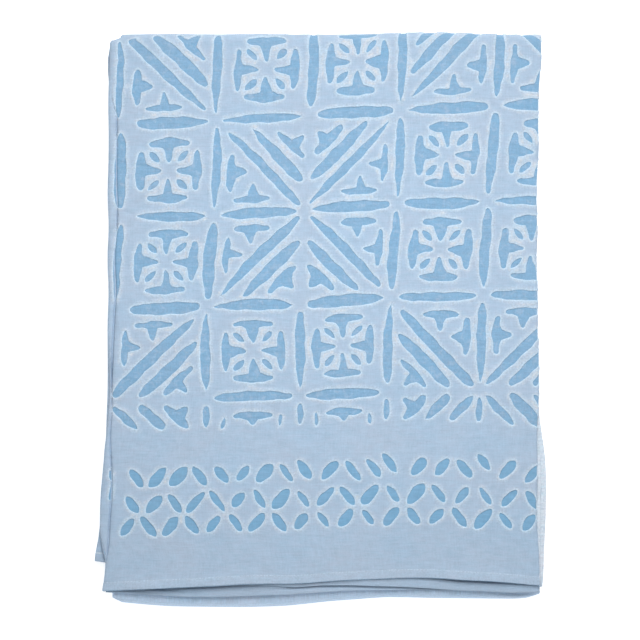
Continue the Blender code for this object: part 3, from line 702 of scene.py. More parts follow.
class Turn:
    """A half turn of the strip about a line across, at its top (way 1) or its bottom (-1).

    outward is 1 where the strip lies outside its back, and -1 where it lies inside.
    """

    def __init__(self, line, centre, radius, outward, way, leg, y, inset):
        self.line = line
        self.centre = centre
        self.radius = radius
        self.outward = outward
        self.way = way
        self.corners = [float(EDGE_LINES[leg][name](y)) for name in SIDES]
        self.y = y
        self.inset = inset

    def place(self, angle, x, height):
        start = self.line(x) if self.line else TOP_LINE
        reach = self.radius + self.outward * height
        return start + self.way * reach * np.sin(angle), self.centre + reach * np.cos(angle)

    def ring(self, angle, cloth):
        left, right, free, lag = self.corners
        left += float(self.inset(angle))
        edges = (left, right, free, lag)
        x, height, first, _, _, side = outline(edges, self.y, cloth, 1.0)
        y, z = self.place(angle, x, height)
        return np.stack([x, y, z], axis=1), first, side


def corner_inset(angle):
    """How far the top fold starts from the left side, round its turn."""
    return TOP_CORNER_INSET * smooth((np.sin(angle) - 0.13) / 0.54)


def same_end(line):
    return {layer: line for layer in (1, 2, 3, 4)}


LEG_1 = Leg(1, FACE_BACK, 1, HEM_LINES, True)
LEG_4 = Leg(4, STRIP, -1, same_end(LOWER_BEND), False)
LEG_3 = Leg(3, STRIP + STRIP_GAP, 1, same_end(LOWER_BEND), False)
LEG_2 = Leg(2, 3 * STRIP + 2 * STRIP_GAP, -1, same_end(BACK_HEM_LINE), True)
OUTER = Turn(None, TURN_CENTRE, OUTER_TURN, 1, 1, 1, TOP_LINE, corner_inset)
INNER = Turn(None, TURN_CENTRE, INNER_TURN, -1, 1, 2, TOP_LINE, lambda angle: 0.0)
LOWER = Turn(LOWER_BEND, STRIP + STRIP_GAP / 2, LOWER_TURN, 1, -1, 4, LOWEST,
             lambda angle: LOWER_CORNER_INSET * smooth(math.sin(angle)))


def ground_rings(cloth):
    """Every ring of the swept section, from the hem of leg 1 to the hem of leg 2."""
    rings = []

    def leg(which, count, downward):
        shares = which.shares(count)
        for share in shares if downward else shares[::-1]:
            rings.append(which.ring(share, cloth) + (which.number,))

    def turn(which, steps, rising, number):
        angles = [math.pi * step / steps for step in range(1, steps)]
        for angle in angles[::-1] if rising else angles:
            rings.append(which.ring(angle, cloth) + (number,))

    leg(LEG_1, 96, False)
    turn(OUTER, 20, False, 0)
    leg(LEG_4, 40, True)
    turn(LOWER, 12, True, 0)
    leg(LEG_3, 30, False)
    turn(INNER, 10, True, 0)
    leg(LEG_2, 40, True)
    return rings


def ground_mesh(cloth):
    """The folded ground cloth as a closed sheet, with what each point shows of the two cloths."""
    rings = ground_rings(cloth)
    count = len(rings[0][0])
    points = np.concatenate([ring[0] for ring in rings])
    flat = np.concatenate([np.stack([ring[0][:, 0], np.full(count, index * RING_SPACING),
                                     ring[2]], axis=1) for index, ring in enumerate(rings)])
    pale = np.concatenate([pale_share(ring, cloth) for ring in rings])
    index = np.arange(count)
    after = (index + 1) % count
    faces = []
    for row in range(len(rings) - 1):
        near, far = row * count, (row + 1) * count
        faces.append(np.stack([near + index, near + after, far + after, far + index], axis=1))
    half = count // 2
    step = np.arange(half - 1)
    for row, way in ((0, 1), (len(rings) - 1, -1)):
        cap = np.stack([step, step + 1, count - 2 - step, count - 1 - step], axis=1) + row * count
        faces.append(cap[:, ::way])
    faces = np.concatenate(faces)[:, ::-1]
    return new_mesh("ground_sheet", settled(points, cloth), faces, flat, pale)


def pale_share(ring, cloth):
    """What each point shows: 1 the ground's face and 0 the same in painted shade, 2 the lawn, 3 its
    pale side hems, 4 its lower folds in painted light.
    """
    points, layers, side, leg = ring
    outside = side > 0
    if leg == 1:
        covered = (layers == 1) & outside
        # Painted shade: the ground in the border's small windows is drawn darker, for the shade
        # that falls in them
        deep = smooth((BORDER_TOP - points[:, 1]) / (60 * MM))
        # Near the free side hems at the right, the lower layers are drawn paler
        free = points[:, 0] - EDGE_LINES[1]["right"](points[:, 1])
        hem = smooth((free + 9 * MM) / (2 * MM)) * (layers > 2)
        return np.where(covered, 1.0 - deep, 2.0 + hem)
    # Below the lower hems the folds are drawn paler: painted light that their bend, turned from the
    # lamps, does not get
    lower = 2.0 * (points[:, 1] < LOWER_HEMS)
    if leg == 2:
        # A pale line of stitches runs along the hem
        away = points[:, 1] - BACK_HEM_LINE(points[:, 0])
        return 2.0 + np.exp(-((away - cloth.hem + SEAM_INSET) / (0.9 * MM)) ** 2)
    if leg == 0:
        on_top = (layers == 1) & outside & (points[:, 1] > 0)
        return np.where(on_top, 1.0, 2.0 + lower)
    return 2.0 + lower


def new_mesh(name, points, faces, flat, pale, bunched=None):
    """A smooth-shaded mesh with its place on the flat cloth and its depth of pale cloth."""
    mesh = bpy.data.meshes.new(name)
    sides = faces.shape[1]
    mesh.vertices.add(len(points))
    mesh.vertices.foreach_set("co", points.astype(np.float32).ravel())
    mesh.loops.add(faces.size)
    mesh.loops.foreach_set("vertex_index", faces.astype(np.int32).ravel())
    mesh.polygons.add(len(faces))
    mesh.polygons.foreach_set("loop_start", np.arange(0, faces.size, sides, dtype=np.int32))
    mesh.update(calc_edges=True)
    mesh.validate()
    mesh.shade_smooth()
    mesh.set_sharp_from_angle(angle=math.radians(50))
    place = mesh.attributes.new("cloth_place", "FLOAT_VECTOR", "POINT")
    place.data.foreach_set("vector", flat.astype(np.float32).ravel())
    for name, values in (("pale_layers", pale), ("bunched_layers", bunched)):
        if values is not None:
            depth = mesh.attributes.new(name, "FLOAT", "POINT")
            depth.data.foreach_set("value", values.astype(np.float32))
    return mesh


# The windows of the pattern


def crossing(column, row):
    """The place of a grid point, carried on evenly past the rows and columns of the table."""
    near_row = min(max(row, 1), LAST_ROW)
    near_column = min(max(column, 0), LAST_COLUMN)
    near = Vector(CROSSINGS[near_row][near_column])
    place = near.copy()
    if column != near_column:
        inner = CROSSINGS[near_row][near_column + (1 if column < 0 else -1)]
        place += (near - Vector(inner)) * abs(column - near_column)
    if row != near_row:
        inner = CROSSINGS[near_row + (1 if row < 1 else -1)][near_column]
        step = near - Vector(inner)
        step.x *= OUTER_LEAN
        place += step * abs(row - near_row)
    return place * MM


def plan(across, down):
    """The place on the face of a point in cells, between the four crossings around it."""
    column, row = math.floor(across), math.floor(down)
    u, v = across - column, down - row
    upper = crossing(column, row).lerp(crossing(column + 1, row), u)
    lower = crossing(column, row + 1).lerp(crossing(column + 1, row + 1), u)
    return upper.lerp(lower, v)


class CellView:
    """A cell seen from one corner: a runs along one side from it, and b along the other."""

    def __init__(self, corner, a_way, b_way, shift=(0, 0)):
        self.corner = Vector(corner)
        self.a_way = Vector(a_way)
        self.b_way = Vector(b_way)
        self.shift = Vector(shift) * MM

    def place(self, a, b):
        spot = self.corner + self.a_way * a + self.b_way * b
        return plan(spot.x, spot.y) + self.shift


def side_of(along):
    return Vector((-along.y, along.x)).normalized()


def end_profile(chance, blunt, ends):
    """How wide a window is from its middle (0) to one end (1): a blunt end or a pointed one."""
    if chance.random() < blunt:
        power = chance.uniform(*ends.square)
        return lambda v: max(1 - v ** power, 0.0) ** (1 / power)
    power = chance.uniform(*POINTED)
    return lambda v: max(1 - v ** power, 0.0) ** ends.tip


def bar_outline(start, end, width, ends, chance):
    """A long window from start to end, a little bowed."""
    along = end - start
    side = side_of(along)
    profiles = [end_profile(chance, blunt, ends) for blunt in ends.blunt]
    middle_at = chance.uniform(*ends.widest)
    bow = chance.uniform(-BAR_BOW, BAR_BOW) * along.length
    upper, lower = [], []
    for step in range(BAR_STEPS + 1):
        share = (1 - math.cos(math.pi * step / BAR_STEPS)) / 2
        if share < middle_at:
            wide = profiles[0](1 - share / middle_at)
        else:
            wide = profiles[1]((share - middle_at) / (1 - middle_at))
        middle = start + along * share + side * bow * math.sin(math.pi * share)
        upper.append(middle + side * wide * width / 2)
        lower.append(middle - side * wide * width / 2)
    return upper + lower[-2:0:-1]


def tee_outline(start, end, tip, width, base, chance):
    """A bowed bar from start to end, and a prong from it to its tip.

    Its points are charted in half lengths along the bar and half widths across it, with some play.
    """
    along = end - start
    side = side_of(along)
    if (tip - start).dot(side) < 0:
        side = -side
    half = along.length / 2
    root = (tip - start).dot(along) / along.length_squared * 2 - 1
    height = (tip - start).dot(side)
    foot = min(base / 2 / half, 0.46 - abs(root) / 1.3)
    middle = (start + end) / 2
    deep = width / 2

    def at(a, depth):
        return middle + along * (a / 2) + side * depth

    play = [chance.uniform(-0.14, 0.14) for _ in range(8)]
    ends = [chance.uniform(0.30, 0.62) for _ in range(2)]
    points = [
        at(-1.0, 0.10 * deep), at(-0.92, -ends[0] * deep),
        at(-0.58, -(0.80 + play[0]) * deep), at(-0.20 + play[1] / 2, -1.06 * deep),
        at(0.20 + play[1] / 2, -1.06 * deep), at(0.58, -(0.80 + play[2]) * deep),
        at(0.92, -ends[1] * deep), at(1.0, 0.10 * deep),
        at(0.89, 0.52 * deep), at(0.62 + play[3] / 2, (0.70 + play[4]) * deep),
    ]
    prong = [(1.22, 0.0), (0.97, 0.06), (0.74 + play[7] / 2, 0.34), (0.50, 0.66), (0.27, 0.92)]
    points += [at(root + foot * out, lerp(0.92 * deep, height, up)) for out, up in prong]
    points += [at(root, height)]
    points += [at(root - foot * out, lerp(0.92 * deep, height, up)) for out, up in prong[::-1]]
    points += [at(-0.62 + play[5] / 2, (0.70 + play[6]) * deep), at(-0.89, 0.52 * deep)]
    return rounded(points, 4)


def rounded(points, steps):
    """A closed curve through the points, which passes each one smoothly."""
    curve = []
    count = len(points)
    for index in range(count):
        p0, p1, p2, p3 = (points[(index + shift) % count] for shift in (-1, 0, 1, 2))
        for step in range(steps):
            t = step / steps
            curve.append(0.5 * (2 * p1 + (p2 - p0) * t + (2 * p0 - 5 * p1 + 4 * p2 - p3) * t * t
                                + (3 * p1 - p0 - 3 * p2 + p3) * t ** 3))
    return curve


class Cutter:
    """Collects the windows, with the small play in width and place that hand cutting gives."""

    def __init__(self, seed):
        self.chance = random.Random(seed)
        self.shape = random.Random(seed + 1)
        self.windows = []

    def play(self, value, amount):
        return value * (1 + self.chance.uniform(-amount, amount))

    def nudge(self, point):
        reach = PLACE_PLAY * CELL
        shift = Vector((self.chance.uniform(-reach, reach), self.chance.uniform(-reach, reach)))
        return point + shift

    def bar(self, start, end, width, ends, stop=None):
        start, end = self.nudge(start), self.nudge(end)
        width = self.play(width, WIDTH_PLAY)
        if stop is not None:
            start, end = shortened(start, end, stop)
            if start is None or (end - start).length < SHORTEST_WINDOW:
                return
        self.windows.append(bar_outline(start, end, width, ends, self.shape))

    def tee(self, start, end, tip, width, base, stop=None):
        shift = self.nudge(Vector((0, 0)))
        start, end, tip = start + shift, end + shift, tip + shift
        width = self.play(width, WIDTH_PLAY)
        base = self.play(base, WIDTH_PLAY)
        if stop is not None and min(p.y - stop(p.x) for p in (start, end)) < 0:
            near, far = shortened(start, end, stop)
            if near is None or (far - near).length < 0.7 * (end - start).length:
                return
            start, end = near, far
        if stop is not None and tip.y < stop(tip.x):
            level = stop(tip.x)
            tip = tip.lerp((start + end) / 2, (level - tip.y) / ((start.y + end.y) / 2 - tip.y))
        self.windows.append(tee_outline(start, end, tip, width, base, self.shape))


def shortened(start, end, stop):
    """The part of a line that lies above the closing line of the field, its ends in order."""
    if start.y < end.y:
        low, high = shortened(end, start, stop)
        return high, low
    if start.y < stop(start.x):
        return None, None
    if end.y > stop(end.x):
        return start, end
    level = stop((start.x + end.x) / 2)
    share = (start.y - level) / (start.y - end.y)
    return start, start.lerp(end, min(max(share, 0.0), 1.0))


def closing_line(x):
    return float(HEM_LINES[1](x)) + FIELD_ABOVE_HEM


def star_kind(column, row):
    return STARS.get((column % REPEAT, row % REPEAT))


def star_of(column, row):
    """The star crossing at a corner of a cell, or None for a flower cell."""
    for corner in ((column, row), (column + 1, row), (column, row + 1), (column + 1, row + 1)):
        if star_kind(*corner):
            return corner
    return None


def flower_cell(cutter, column, row, stop):
    """Four tees that point at the middle of the cell, and four petals between them."""
    shift = CELL_SHIFTS.get((column, row), (0, 0))
    cell = CellView((column + 0.5, row + 0.5), (1, 0), (0, 1), shift)
    half = TEE_BAR / 2
    for a, b in ((0, -1), (1, 0), (0, 1), (-1, 0)):
        start = cell.place(a * TEE_OUT - b * half, b * TEE_OUT + a * half)
        end = cell.place(a * TEE_OUT + b * half, b * TEE_OUT - a * half)
        tip = cell.place(a * TEE_TIP, b * TEE_TIP)
        cutter.tee(start, end, tip, TEE_WIDTH * CELL, TEE_BASE * CELL, stop)
    near, far = PETAL_REACH
    for a, b in ((-1, -1), (1, -1), (1, 1), (-1, 1)):
        cutter.bar(cell.place(a * near, b * near), cell.place(a * far, b * far),
                   PETAL_WIDTH * CELL, PETAL_SHAPE, stop)


def star_cell(cutter, column, row, star, stop):
    """Two long bars beside the diagonal, a forked window and two tees in the cell's corners."""
    ways = [(1 if star[0] == column else -1, 0), (0, 1 if star[1] == row else -1)]
    if star_kind(*star) == "upright":
        ways.reverse()
    cell = CellView(star, *ways, CELL_SHIFTS.get((column, row), (0, 0)))
    for part in STAR_QUARTER:
        start = cell.place(part.a, part.b)
        end = cell.place(part.to_a, part.to_b)
        if part.tip_a is None:
            cutter.bar(start, end, part.width * CELL, STAR_BAR_SHAPE, stop)
        else:
            tip = cell.place(part.tip_a, part.tip_b)
            cutter.tee(start, end, tip, part.width * CELL, STAR_TEE_BASE * CELL, stop)


def has_bar(column, row, level):
    """Whether the edge of a cell carries a bar. The forked sides of a star have none."""
    if (column, row) in HIDDEN_BARS and not level:
        return False
    for end in ((column, row), (column + 1, row) if level else (column, row + 1)):
        if star_kind(*end):
            return level == (star_kind(*end) == "upright")
    return True


def edge_bar(cutter, place, start, end, stop):
    """The bar on the upper or the left edge of a cell."""
    x, y, wide = BAR_CHANGES.get(place, (0, 0, 1))
    cell = CellView(place[1:], (1, 0), (0, 1), (x, y))
    width = BAR_WIDTH * CELL * wide * (LAST_BAR_WIDTH if stop else 1)
    cutter.bar(cell.place(*start), cell.place(*end), width, BAR_SHAPE, stop)


def field(cutter, columns, rows):
    """All cells and the bars on their edges. The last row is cut short by the closing line."""
    for row in rows:
        stop = closing_line if row == rows[-1] else None
        for column in columns:
            star = star_of(column, row)
            if star:
                star_cell(cutter, column, row, star, stop)
            else:
                flower_cell(cutter, column, row, stop)
            low, high = BAR_ENDS
            if has_bar(column, row, True):
                start = FIRST_BAR_START if column == 0 else low
                edge_bar(cutter, ("level", column, row), (start, 0), (high, 0), None)
            if has_bar(column, row, False):
                edge_bar(cutter, ("upright", column, row), (0, low), (0, high), stop)


def border(cutter):
    """Three rows of slanting leaves along the hem, which lean by turns."""
    for number, row in enumerate(LEAF_ROWS):
        for index in range(LEAF_COUNT):
            bow = row.bow * math.sin(math.pi * index / (LEAF_COUNT - 1))
            x = (row.first_x + index * row.pitch - bow) * MM
            middle = Vector((x, float(HEM_LINES[1](x)) + row.above * MM))
            middle += Vector(LEAF_SHIFTS.get((number, index), (0, 0))) * MM
            leaf = LEAVES[row.leans[index % len(row.leans)]]
            angle = math.radians(leaf.angle)
            size = cutter.chance.uniform(*LEAF_SIZES)
            reach = Vector((math.cos(angle), math.sin(angle))) * LEAF_LENGTH * size / 2
            width = leaf.width * MM * math.sqrt(size)
            cutter.bar(middle - reach, middle + reach, width, LEAF_SHAPE)


# The applique cloth, flat


def face_lines(y):
    """The lines where the face ends and its left and right bends start."""
    share = np.maximum((TOP_LINE - y) / (TOP_LINE - float(HEM_LINES[1](0.0))), 0.0)
    level = lerp(TOP_LINE, float(HEM_LINES[1](0.0)), share)
    left = EDGE_LINES[1]["left"](level) + BIG_BEND + LAYER / 2
    return left, EDGE_LINES[1]["right"](level) - SMALL_BEND - LAYER / 2


def to_cloth(points):
    """From places seen on the face to the flat cloth, whose bend lines are straight."""
    left, right = face_lines(points[:, 1])
    share = (points[:, 0] - left) / (right - left)
    return np.stack([(2 * share - 1) * FACE_HALF, points[:, 1]], axis=1)


# How much of the half turn of the left, right and top bends the flat panel goes round
LEFT_WRAP = 0.93
RIGHT_WRAP = 0.80
TOP_WRAP = 0.93
LEFT_RADIUS = BIG_BEND + LAYER / 2
RIGHT_RADIUS = SMALL_BEND + LAYER / 2
BEND_LIFT = 0.9 * MM
TOP_REACH = OUTER_TURN + STRIP + BEND_LIFT
PANEL_LEFT = -FACE_HALF - LEFT_WRAP * math.pi * (LEFT_RADIUS + BEND_LIFT)
PANEL_RIGHT = FACE_HALF + RIGHT_WRAP * math.pi * (RIGHT_RADIUS + BEND_LIFT)
PANEL_TOP = TOP_LINE + TOP_WRAP * math.pi * TOP_REACH
PANEL_MARGIN = 1.2 * MM


def bent(line, way, over, centre, radius, lift):
    """The place across and the height of points that lie past the start of a bend."""
    angle = over / (radius + BEND_LIFT)
    reach = radius + lift
    return line + way * reach * np.sin(angle), centre + reach * np.cos(angle)


def wrapped(flat, lift):
    """From the flat cloth to the folded one, lift above the ground cloth."""
    s, t = flat.T
    angle = np.maximum(t - TOP_LINE, 0.0) / TOP_REACH
    left, right = face_lines(t)
    x = lerp(left, right, (s + FACE_HALF) / (2 * FACE_HALF))
    inset = corner_inset(np.minimum(angle, math.pi))
    x += inset * smooth(1 - (x - left) / (60 * MM))
    left = left + inset
    height = STRIP + lift
    over = -FACE_HALF - s
    bent_x, bent_height = bent(left, -1, np.maximum(over, 0), BEND_HEIGHT, LEFT_RADIUS, lift)
    x, height = np.where(over > 0, bent_x, x), np.where(over > 0, bent_height, height)
    over = s - FACE_HALF
    bent_x, bent_height = bent(right, 1, np.maximum(over, 0), TOP_BEND_HEIGHT, RIGHT_RADIUS, lift)
    x, height = np.where(over > 0, bent_x, x), np.where(over > 0, bent_height, height)
    y, z = OUTER.place(angle, x, height)
    turned = t > TOP_LINE
    return np.stack([x, np.where(turned, y, t), np.where(turned, z, FACE_BACK + height)], axis=1)


def cut_at(window, axis, limit, way):
    """The part of a window on one side of a line along X or Y."""
    kept = []
    for index, point in enumerate(window):
        before = window[index - 1]
        reach, reach_before = way * (limit - point[axis]), way * (limit - before[axis])
        if reach * reach_before < 0:
            kept.append(before + (point - before) * reach_before / (reach_before - reach))
        if reach >= 0:
            kept.append(point)
    return kept


def on_panel(window):
    """The part of a window that stays on the panel, or None where too little is left."""
    window = cut_at(list(window), 0, PANEL_LEFT + PANEL_MARGIN, -1)
    window = cut_at(window, 0, PANEL_RIGHT - PANEL_MARGIN, 1)
    window = cut_at(window, 1, PANEL_TOP - PANEL_MARGIN, 1)
    if len(window) < 3:
        return None
    window = np.array(window)
    x, y = window.T
    if np.sum(x * np.roll(y, -1) - np.roll(x, -1) * y) < 0:
        window = window[::-1]
    return window if min(np.ptp(window, axis=0)) > LEAST_WINDOW else None


def spaced(window):
    """The window's outline with even steps, and closer ones where it turns."""
    after = np.roll(window, -1, axis=0)
    steps = after - window
    lengths = np.hypot(*steps.T)
    keep = lengths > 1e-7
    window, steps, lengths = window[keep], steps[keep], lengths[keep]
    heading = np.unwrap(np.arctan2(steps[:, 1], steps[:, 0]))
    turn = np.abs(np.roll(heading, -1) - heading)
    turn[-1] = turn[0]
    turn = (turn + np.roll(turn, 1) + np.roll(turn, -1)) / 3
    weight = np.concatenate([[0], np.cumsum(lengths / OUTLINE_STEP + turn / OUTLINE_TURN)])
    count = max(int(round(weight[-1])), 10)
    marks = np.arange(count) * weight[-1] / count
    closed = np.concatenate([window, window[:1]])
    return np.stack([np.interp(marks, weight, closed[:, axis]) for axis in (0, 1)], axis=1)


def outward(window):
    """Unit normals of an outline, away from the window."""
    along = np.roll(window, -1, axis=0) - np.roll(window, 1, axis=0)
    normal = np.stack([along[:, 1], -along[:, 0]], axis=1)
    normal /= np.maximum(np.hypot(*normal.T), 1e-9)[:, None]
    x, y = window.T
    area = np.sum(x * np.roll(y, -1) - np.roll(x, -1) * y)
    return normal if area > 0 else -normal


def wavered(window, chance):
    """The outline as a hand cuts it, which wavers to both sides."""
    lengths = np.hypot(*(np.roll(window, -1, axis=0) - window).T)
    around = np.concatenate([[0], np.cumsum(lengths)[:-1]])
    total = lengths.sum()
    shift = np.zeros(len(window))
    for length, reach in WAVER:
        turns = max(round(total / length), 1)
        size = reach * min(total / FULL_WAVER_ROUND, 1.0) ** 0.5
        for extra in (0, 1):
            phase = chance.uniform(0, 2 * math.pi)
            shift += size * 0.7 * np.sin(2 * math.pi * (turns + extra) * around / total + phase)
    return window + outward(window) * shift[:, None]


def cut_windows(cloth):
    """The outlines of all windows on the flat panel."""
    cutter = Cutter(cloth.seed)
    field(cutter, range(LAST_COLUMN + 1), range(LAST_ROW + 1))
    border(cutter)
    for cut in SMALL_CUTS:
        start = Vector((cut.x, cut.y)) * MM
        cutter.bar(start, Vector((cut.to_x, cut.to_y)) * MM, cut.width * MM, CUT_SHAPE)
    chance = random.Random(cloth.seed + 2)
    windows = []
    for window in cutter.windows:
        points = wavered(np.array([tuple(point) for point in window]), chance)
        window = on_panel(to_cloth(points))
        if window is not None:
            windows.append(spaced(window))
    return windows


class Nearest:
    """Distance from the nearest of a set of outlines, each closed unless it says otherwise."""

    def __init__(self, outlines, step=1.0 * MM, closed=True):
        points = []
        for line in outlines:
            ends = np.roll(line, -1, axis=0) if closed else line[1:]
            for near, far in zip(line, ends):
                count = max(int(math.hypot(*(far - near)) / step), 1)
                points += [near + (far - near) * index / count for index in range(count)]
        self.tree = KDTree(len(points))
        for index, point in enumerate(points):
            self.tree.insert((point[0], point[1], 0.0), index)
        self.tree.balance()

    def __call__(self, points):
        find = self.tree.find
        return np.array([find((x, y, 0.0))[2] for x, y in points])


class Crowding:
    """How closely window edges crowd round a place: 1 beside one straight edge, 2 between two."""

    GRID = 0.8 * MM
    REACH = 4.3 * MM

    def __init__(self, windows):
        points = []
        for line in windows:
            for near, far in zip(line, np.roll(line, -1, axis=0)):
                count = max(int(math.hypot(*(far - near)) / (0.4 * MM)), 1)
                share = (np.arange(count) / count)[:, None]
                weight = np.full((count, 1), math.hypot(*(far - near)) / count)
                points.append(np.hstack([near + (far - near) * share, weight]))
        points = np.concatenate(points)
        self.low = points[:, :2].min(axis=0) - 20 * MM
        span = points[:, :2].max(axis=0) + 20 * MM - self.low
        self.shape = tuple((span / self.GRID).astype(int) + 2)
        cells = ((points[:, :2] - self.low) / self.GRID + 0.5).astype(int)
        image = np.zeros(self.shape)
        np.add.at(image, (cells[:, 0], cells[:, 1]), points[:, 2])
        steps = np.arange(-14, 15) * self.GRID
        kernel = np.exp(-(steps / self.REACH) ** 2)
        for axis in (0, 1):
            image = np.apply_along_axis(np.convolve, axis, image, kernel, "same")
        self.image = image / (math.sqrt(math.pi) * self.REACH)

    def __call__(self, points):
        spot = np.clip((points - self.low) / self.GRID, 0, np.array(self.shape) - 1.001)
        cell = spot.astype(int)
        u, v = (spot - cell).T
        i, j = cell.T
        image = self.image
        return ((image[i, j] * (1 - u) + image[i + 1, j] * u) * (1 - v)
                + (image[i, j + 1] * (1 - u) + image[i + 1, j + 1] * u) * v)


def hem_line():
    """The hem on the flat cloth, from its left end to its right."""
    x = np.linspace(-290, 290, HEM_POINTS) * MM
    line = to_cloth(np.stack([x, HEM_LINES[1](x)], axis=1))
    line = line[(line[:, 0] > PANEL_LEFT) & (line[:, 0] < PANEL_RIGHT)]
    left = np.array([[PANEL_LEFT, line[0, 1]]])
    right = np.array([[PANEL_RIGHT, line[-1, 1]]])
    return np.concatenate([left, line, right])


def panel_outline(hem):
    """The outline of the flat panel, from the left end of the hem all the way round."""
    side = np.arange(1, SIDE_POINTS + 1) / (SIDE_POINTS + 1)
    right = np.stack([np.full_like(side, PANEL_RIGHT), lerp(hem[-1, 1], PANEL_TOP, side)], axis=1)
    left = np.stack([np.full_like(side, PANEL_LEFT), lerp(PANEL_TOP, hem[0, 1], side)], axis=1)
    across = np.linspace(PANEL_RIGHT, PANEL_LEFT, UPPER_POINTS)
    top = np.stack([across, np.full_like(across, PANEL_TOP)], axis=1)
    return np.concatenate([hem, right, top, left])


def loose_points(hem):
    """Points between the windows: a coarse grid, closer at the folds, hem and creases."""
    def hem_at(s):
        return np.interp(s, hem[:, 0], hem[:, 1])

    points = []
    columns = list(np.arange(-FACE_HALF + 6 * MM, FACE_HALF - 3 * MM, GRID_SPACING))
    bends = [-FACE_HALF - step * LEFT_BEND_SPACING for step in range(9)]
    bends += [FACE_HALF + step * RIGHT_BEND_SPACING for step in range(9)]
    columns += [s for s in bends if PANEL_LEFT < s - 0.3 * MM and s < PANEL_RIGHT - 0.3 * MM]
    rows = list(np.arange(-340 * MM, TOP_LINE - 1 * MM, GRID_SPACING))
    rows += list(TOP_LINE + np.arange(0, PANEL_TOP - TOP_LINE - 1 * MM, TOP_SPACING))
    for s in columns:
        points += [(s, t) for t in rows if t > hem_at(s) + 15 * MM]
    for out in PANEL_HEM_STEPS:
        for s in np.arange(PANEL_LEFT + 1 * MM, PANEL_RIGHT - 1 * MM, HEM_SPACING):
            points.append((s, hem_at(s) + out * MM))
    for y in np.arange(CREASE[-1].y * MM, CREASE[0].y * MM, CREASE_SPACING):
        for out in PANEL_CREASE_STEPS:
            points.append(tuple(to_cloth(np.array([[float(CREASE_LINE(y)) + out * MM, y]]))[0]))
    for crease in SMALL_CREASES:
        start = np.array((crease.x, crease.y)) * MM
        end = np.array((crease.to_x, crease.to_y)) * MM
        side = np.array((start[1] - end[1], end[0] - start[0])) / np.hypot(*(end - start))
        for share in np.linspace(-0.15, 1.15, 12):
            for out in SMALL_CREASE_STEPS:
                spot = start + (end - start) * share + side * out * MM
                points.append(tuple(to_cloth(spot[None])[0]))
    return np.array(points)


def thinned(points, room, taken):
    """The points that keep this much room from each other and from those already taken."""
    cells = {}
    for x, y in taken:
        cells.setdefault((int(x // room), int(y // room)), []).append((x, y))
    kept = []
    for x, y in points:
        column, row = int(x // room), int(y // room)
        near = [spot for dx in (-1, 0, 1) for dy in (-1, 0, 1)
                for spot in cells.get((column + dx, row + dy), ())]
        if all((x - a) ** 2 + (y - b) ** 2 > room * room for a, b in near):
            kept.append((x, y))
            cells.setdefault((column, row), []).append((x, y))
    return np.array(kept).reshape(-1, 2)


def panel_points(windows, border_line, hem):
    """All points of the flat panel, with the outlines first."""
    outlines = np.concatenate([border_line] + windows)
    edge = Nearest(windows)
    rim = Nearest([border_line])
    rounds = []
    for near in ROUNDS:
        for window in windows:
            ring = (window + outward(window) * near.out * MM)[::near.every]
            rounds.append(np.column_stack([ring, np.full(len(ring), near.out * MM)]))
    rounds = np.concatenate(rounds)
    # A row that meets another window's rows keeps only its points nearest to its own window
    rounds = rounds[edge(rounds[:, :2]) > rounds[:, 2] * 0.93]
    near = rounds[:, 2] < 2.5 * MM
    close = thinned(rounds[near, :2], 0.3 * MM, outlines)
    wide = thinned(rounds[~near, :2], 2.0 * MM, close)
    loose = loose_points(hem)
    loose = thinned(loose[edge(loose) > 2.2 * MM], 0.35 * MM, np.concatenate([wide, close]))
    points = np.concatenate([close, wide, loose])
    s, t = points.T
    inner = (s > PANEL_LEFT + 0.2 * MM) & (s < PANEL_RIGHT - 0.2 * MM) & (t < PANEL_TOP - 0.2 * MM)
    inner &= t > np.interp(s, hem[:, 0], hem[:, 1]) + 0.2 * MM
    points = points[inner]
    return np.concatenate([outlines, points[rim(points) > 0.3 * MM]])


def encloses(line, spots):
    """Which spots a closed outline goes round, also where it crosses itself."""
    x, y = spots.T[:, :, None]
    ax, ay = line.T
    bx, by = np.roll(line, -1, axis=0).T
    side = (bx - ax) * (y - ay) - (x - ax) * (by - ay)
    rising = (ay <= y) & (by > y) & (side > 0)
    falling = (ay > y) & (by <= y) & (side < 0)
    return rising.sum(axis=1) != falling.sum(axis=1)


def flat_triangles(windows, border_line, hem, points):
    """Triangles of the panel between its outlines, with the windows left open."""
    edges = []
    start = 0
    for line in [border_line] + windows:
        count = len(line)
        edges += [(start + step, start + (step + 1) % count) for step in range(count)]
        start += count
    spots = [Vector(point) / MM for point in points]
    found = delaunay_2d_cdt(spots, edges, [], 0, 1e-4, False)
    made = np.array([tuple(spot) for spot in found[0]]) * MM
    faces = np.array(found[2])
    middles = made[faces].mean(axis=1)
    kept = middles[:, 1] > np.interp(middles[:, 0], hem[:, 0], hem[:, 1])
    for window in windows:
        low, high = window.min(axis=0), window.max(axis=0)
        near = np.flatnonzero(np.all((middles > low) & (middles < high), axis=1))
        kept[near[encloses(window, middles[near])]] = False
    used, faces = np.unique(faces[kept], return_inverse=True)
    return made[used], faces.reshape(-1, 3)


# The applique cloth's relief


def crease_relief(face):
    """The small creases and pulled threads, as depths below the face."""
    total = np.zeros(len(face))
    for crease in SMALL_CREASES:
        start = np.array((crease.x, crease.y)) * MM
        run = np.array((crease.to_x, crease.to_y)) * MM - start
        share = np.clip((face - start) @ run / (run @ run), 0, 1)
        away = np.hypot(*(face - start - share[:, None] * run).T)
        ends = 0.35 + 0.65 * np.sin(math.pi * np.clip(share, 0.02, 0.98))
        total += crease.depth * MM * ends * np.exp(-(away / (crease.width * MM)) ** 2)
    return total


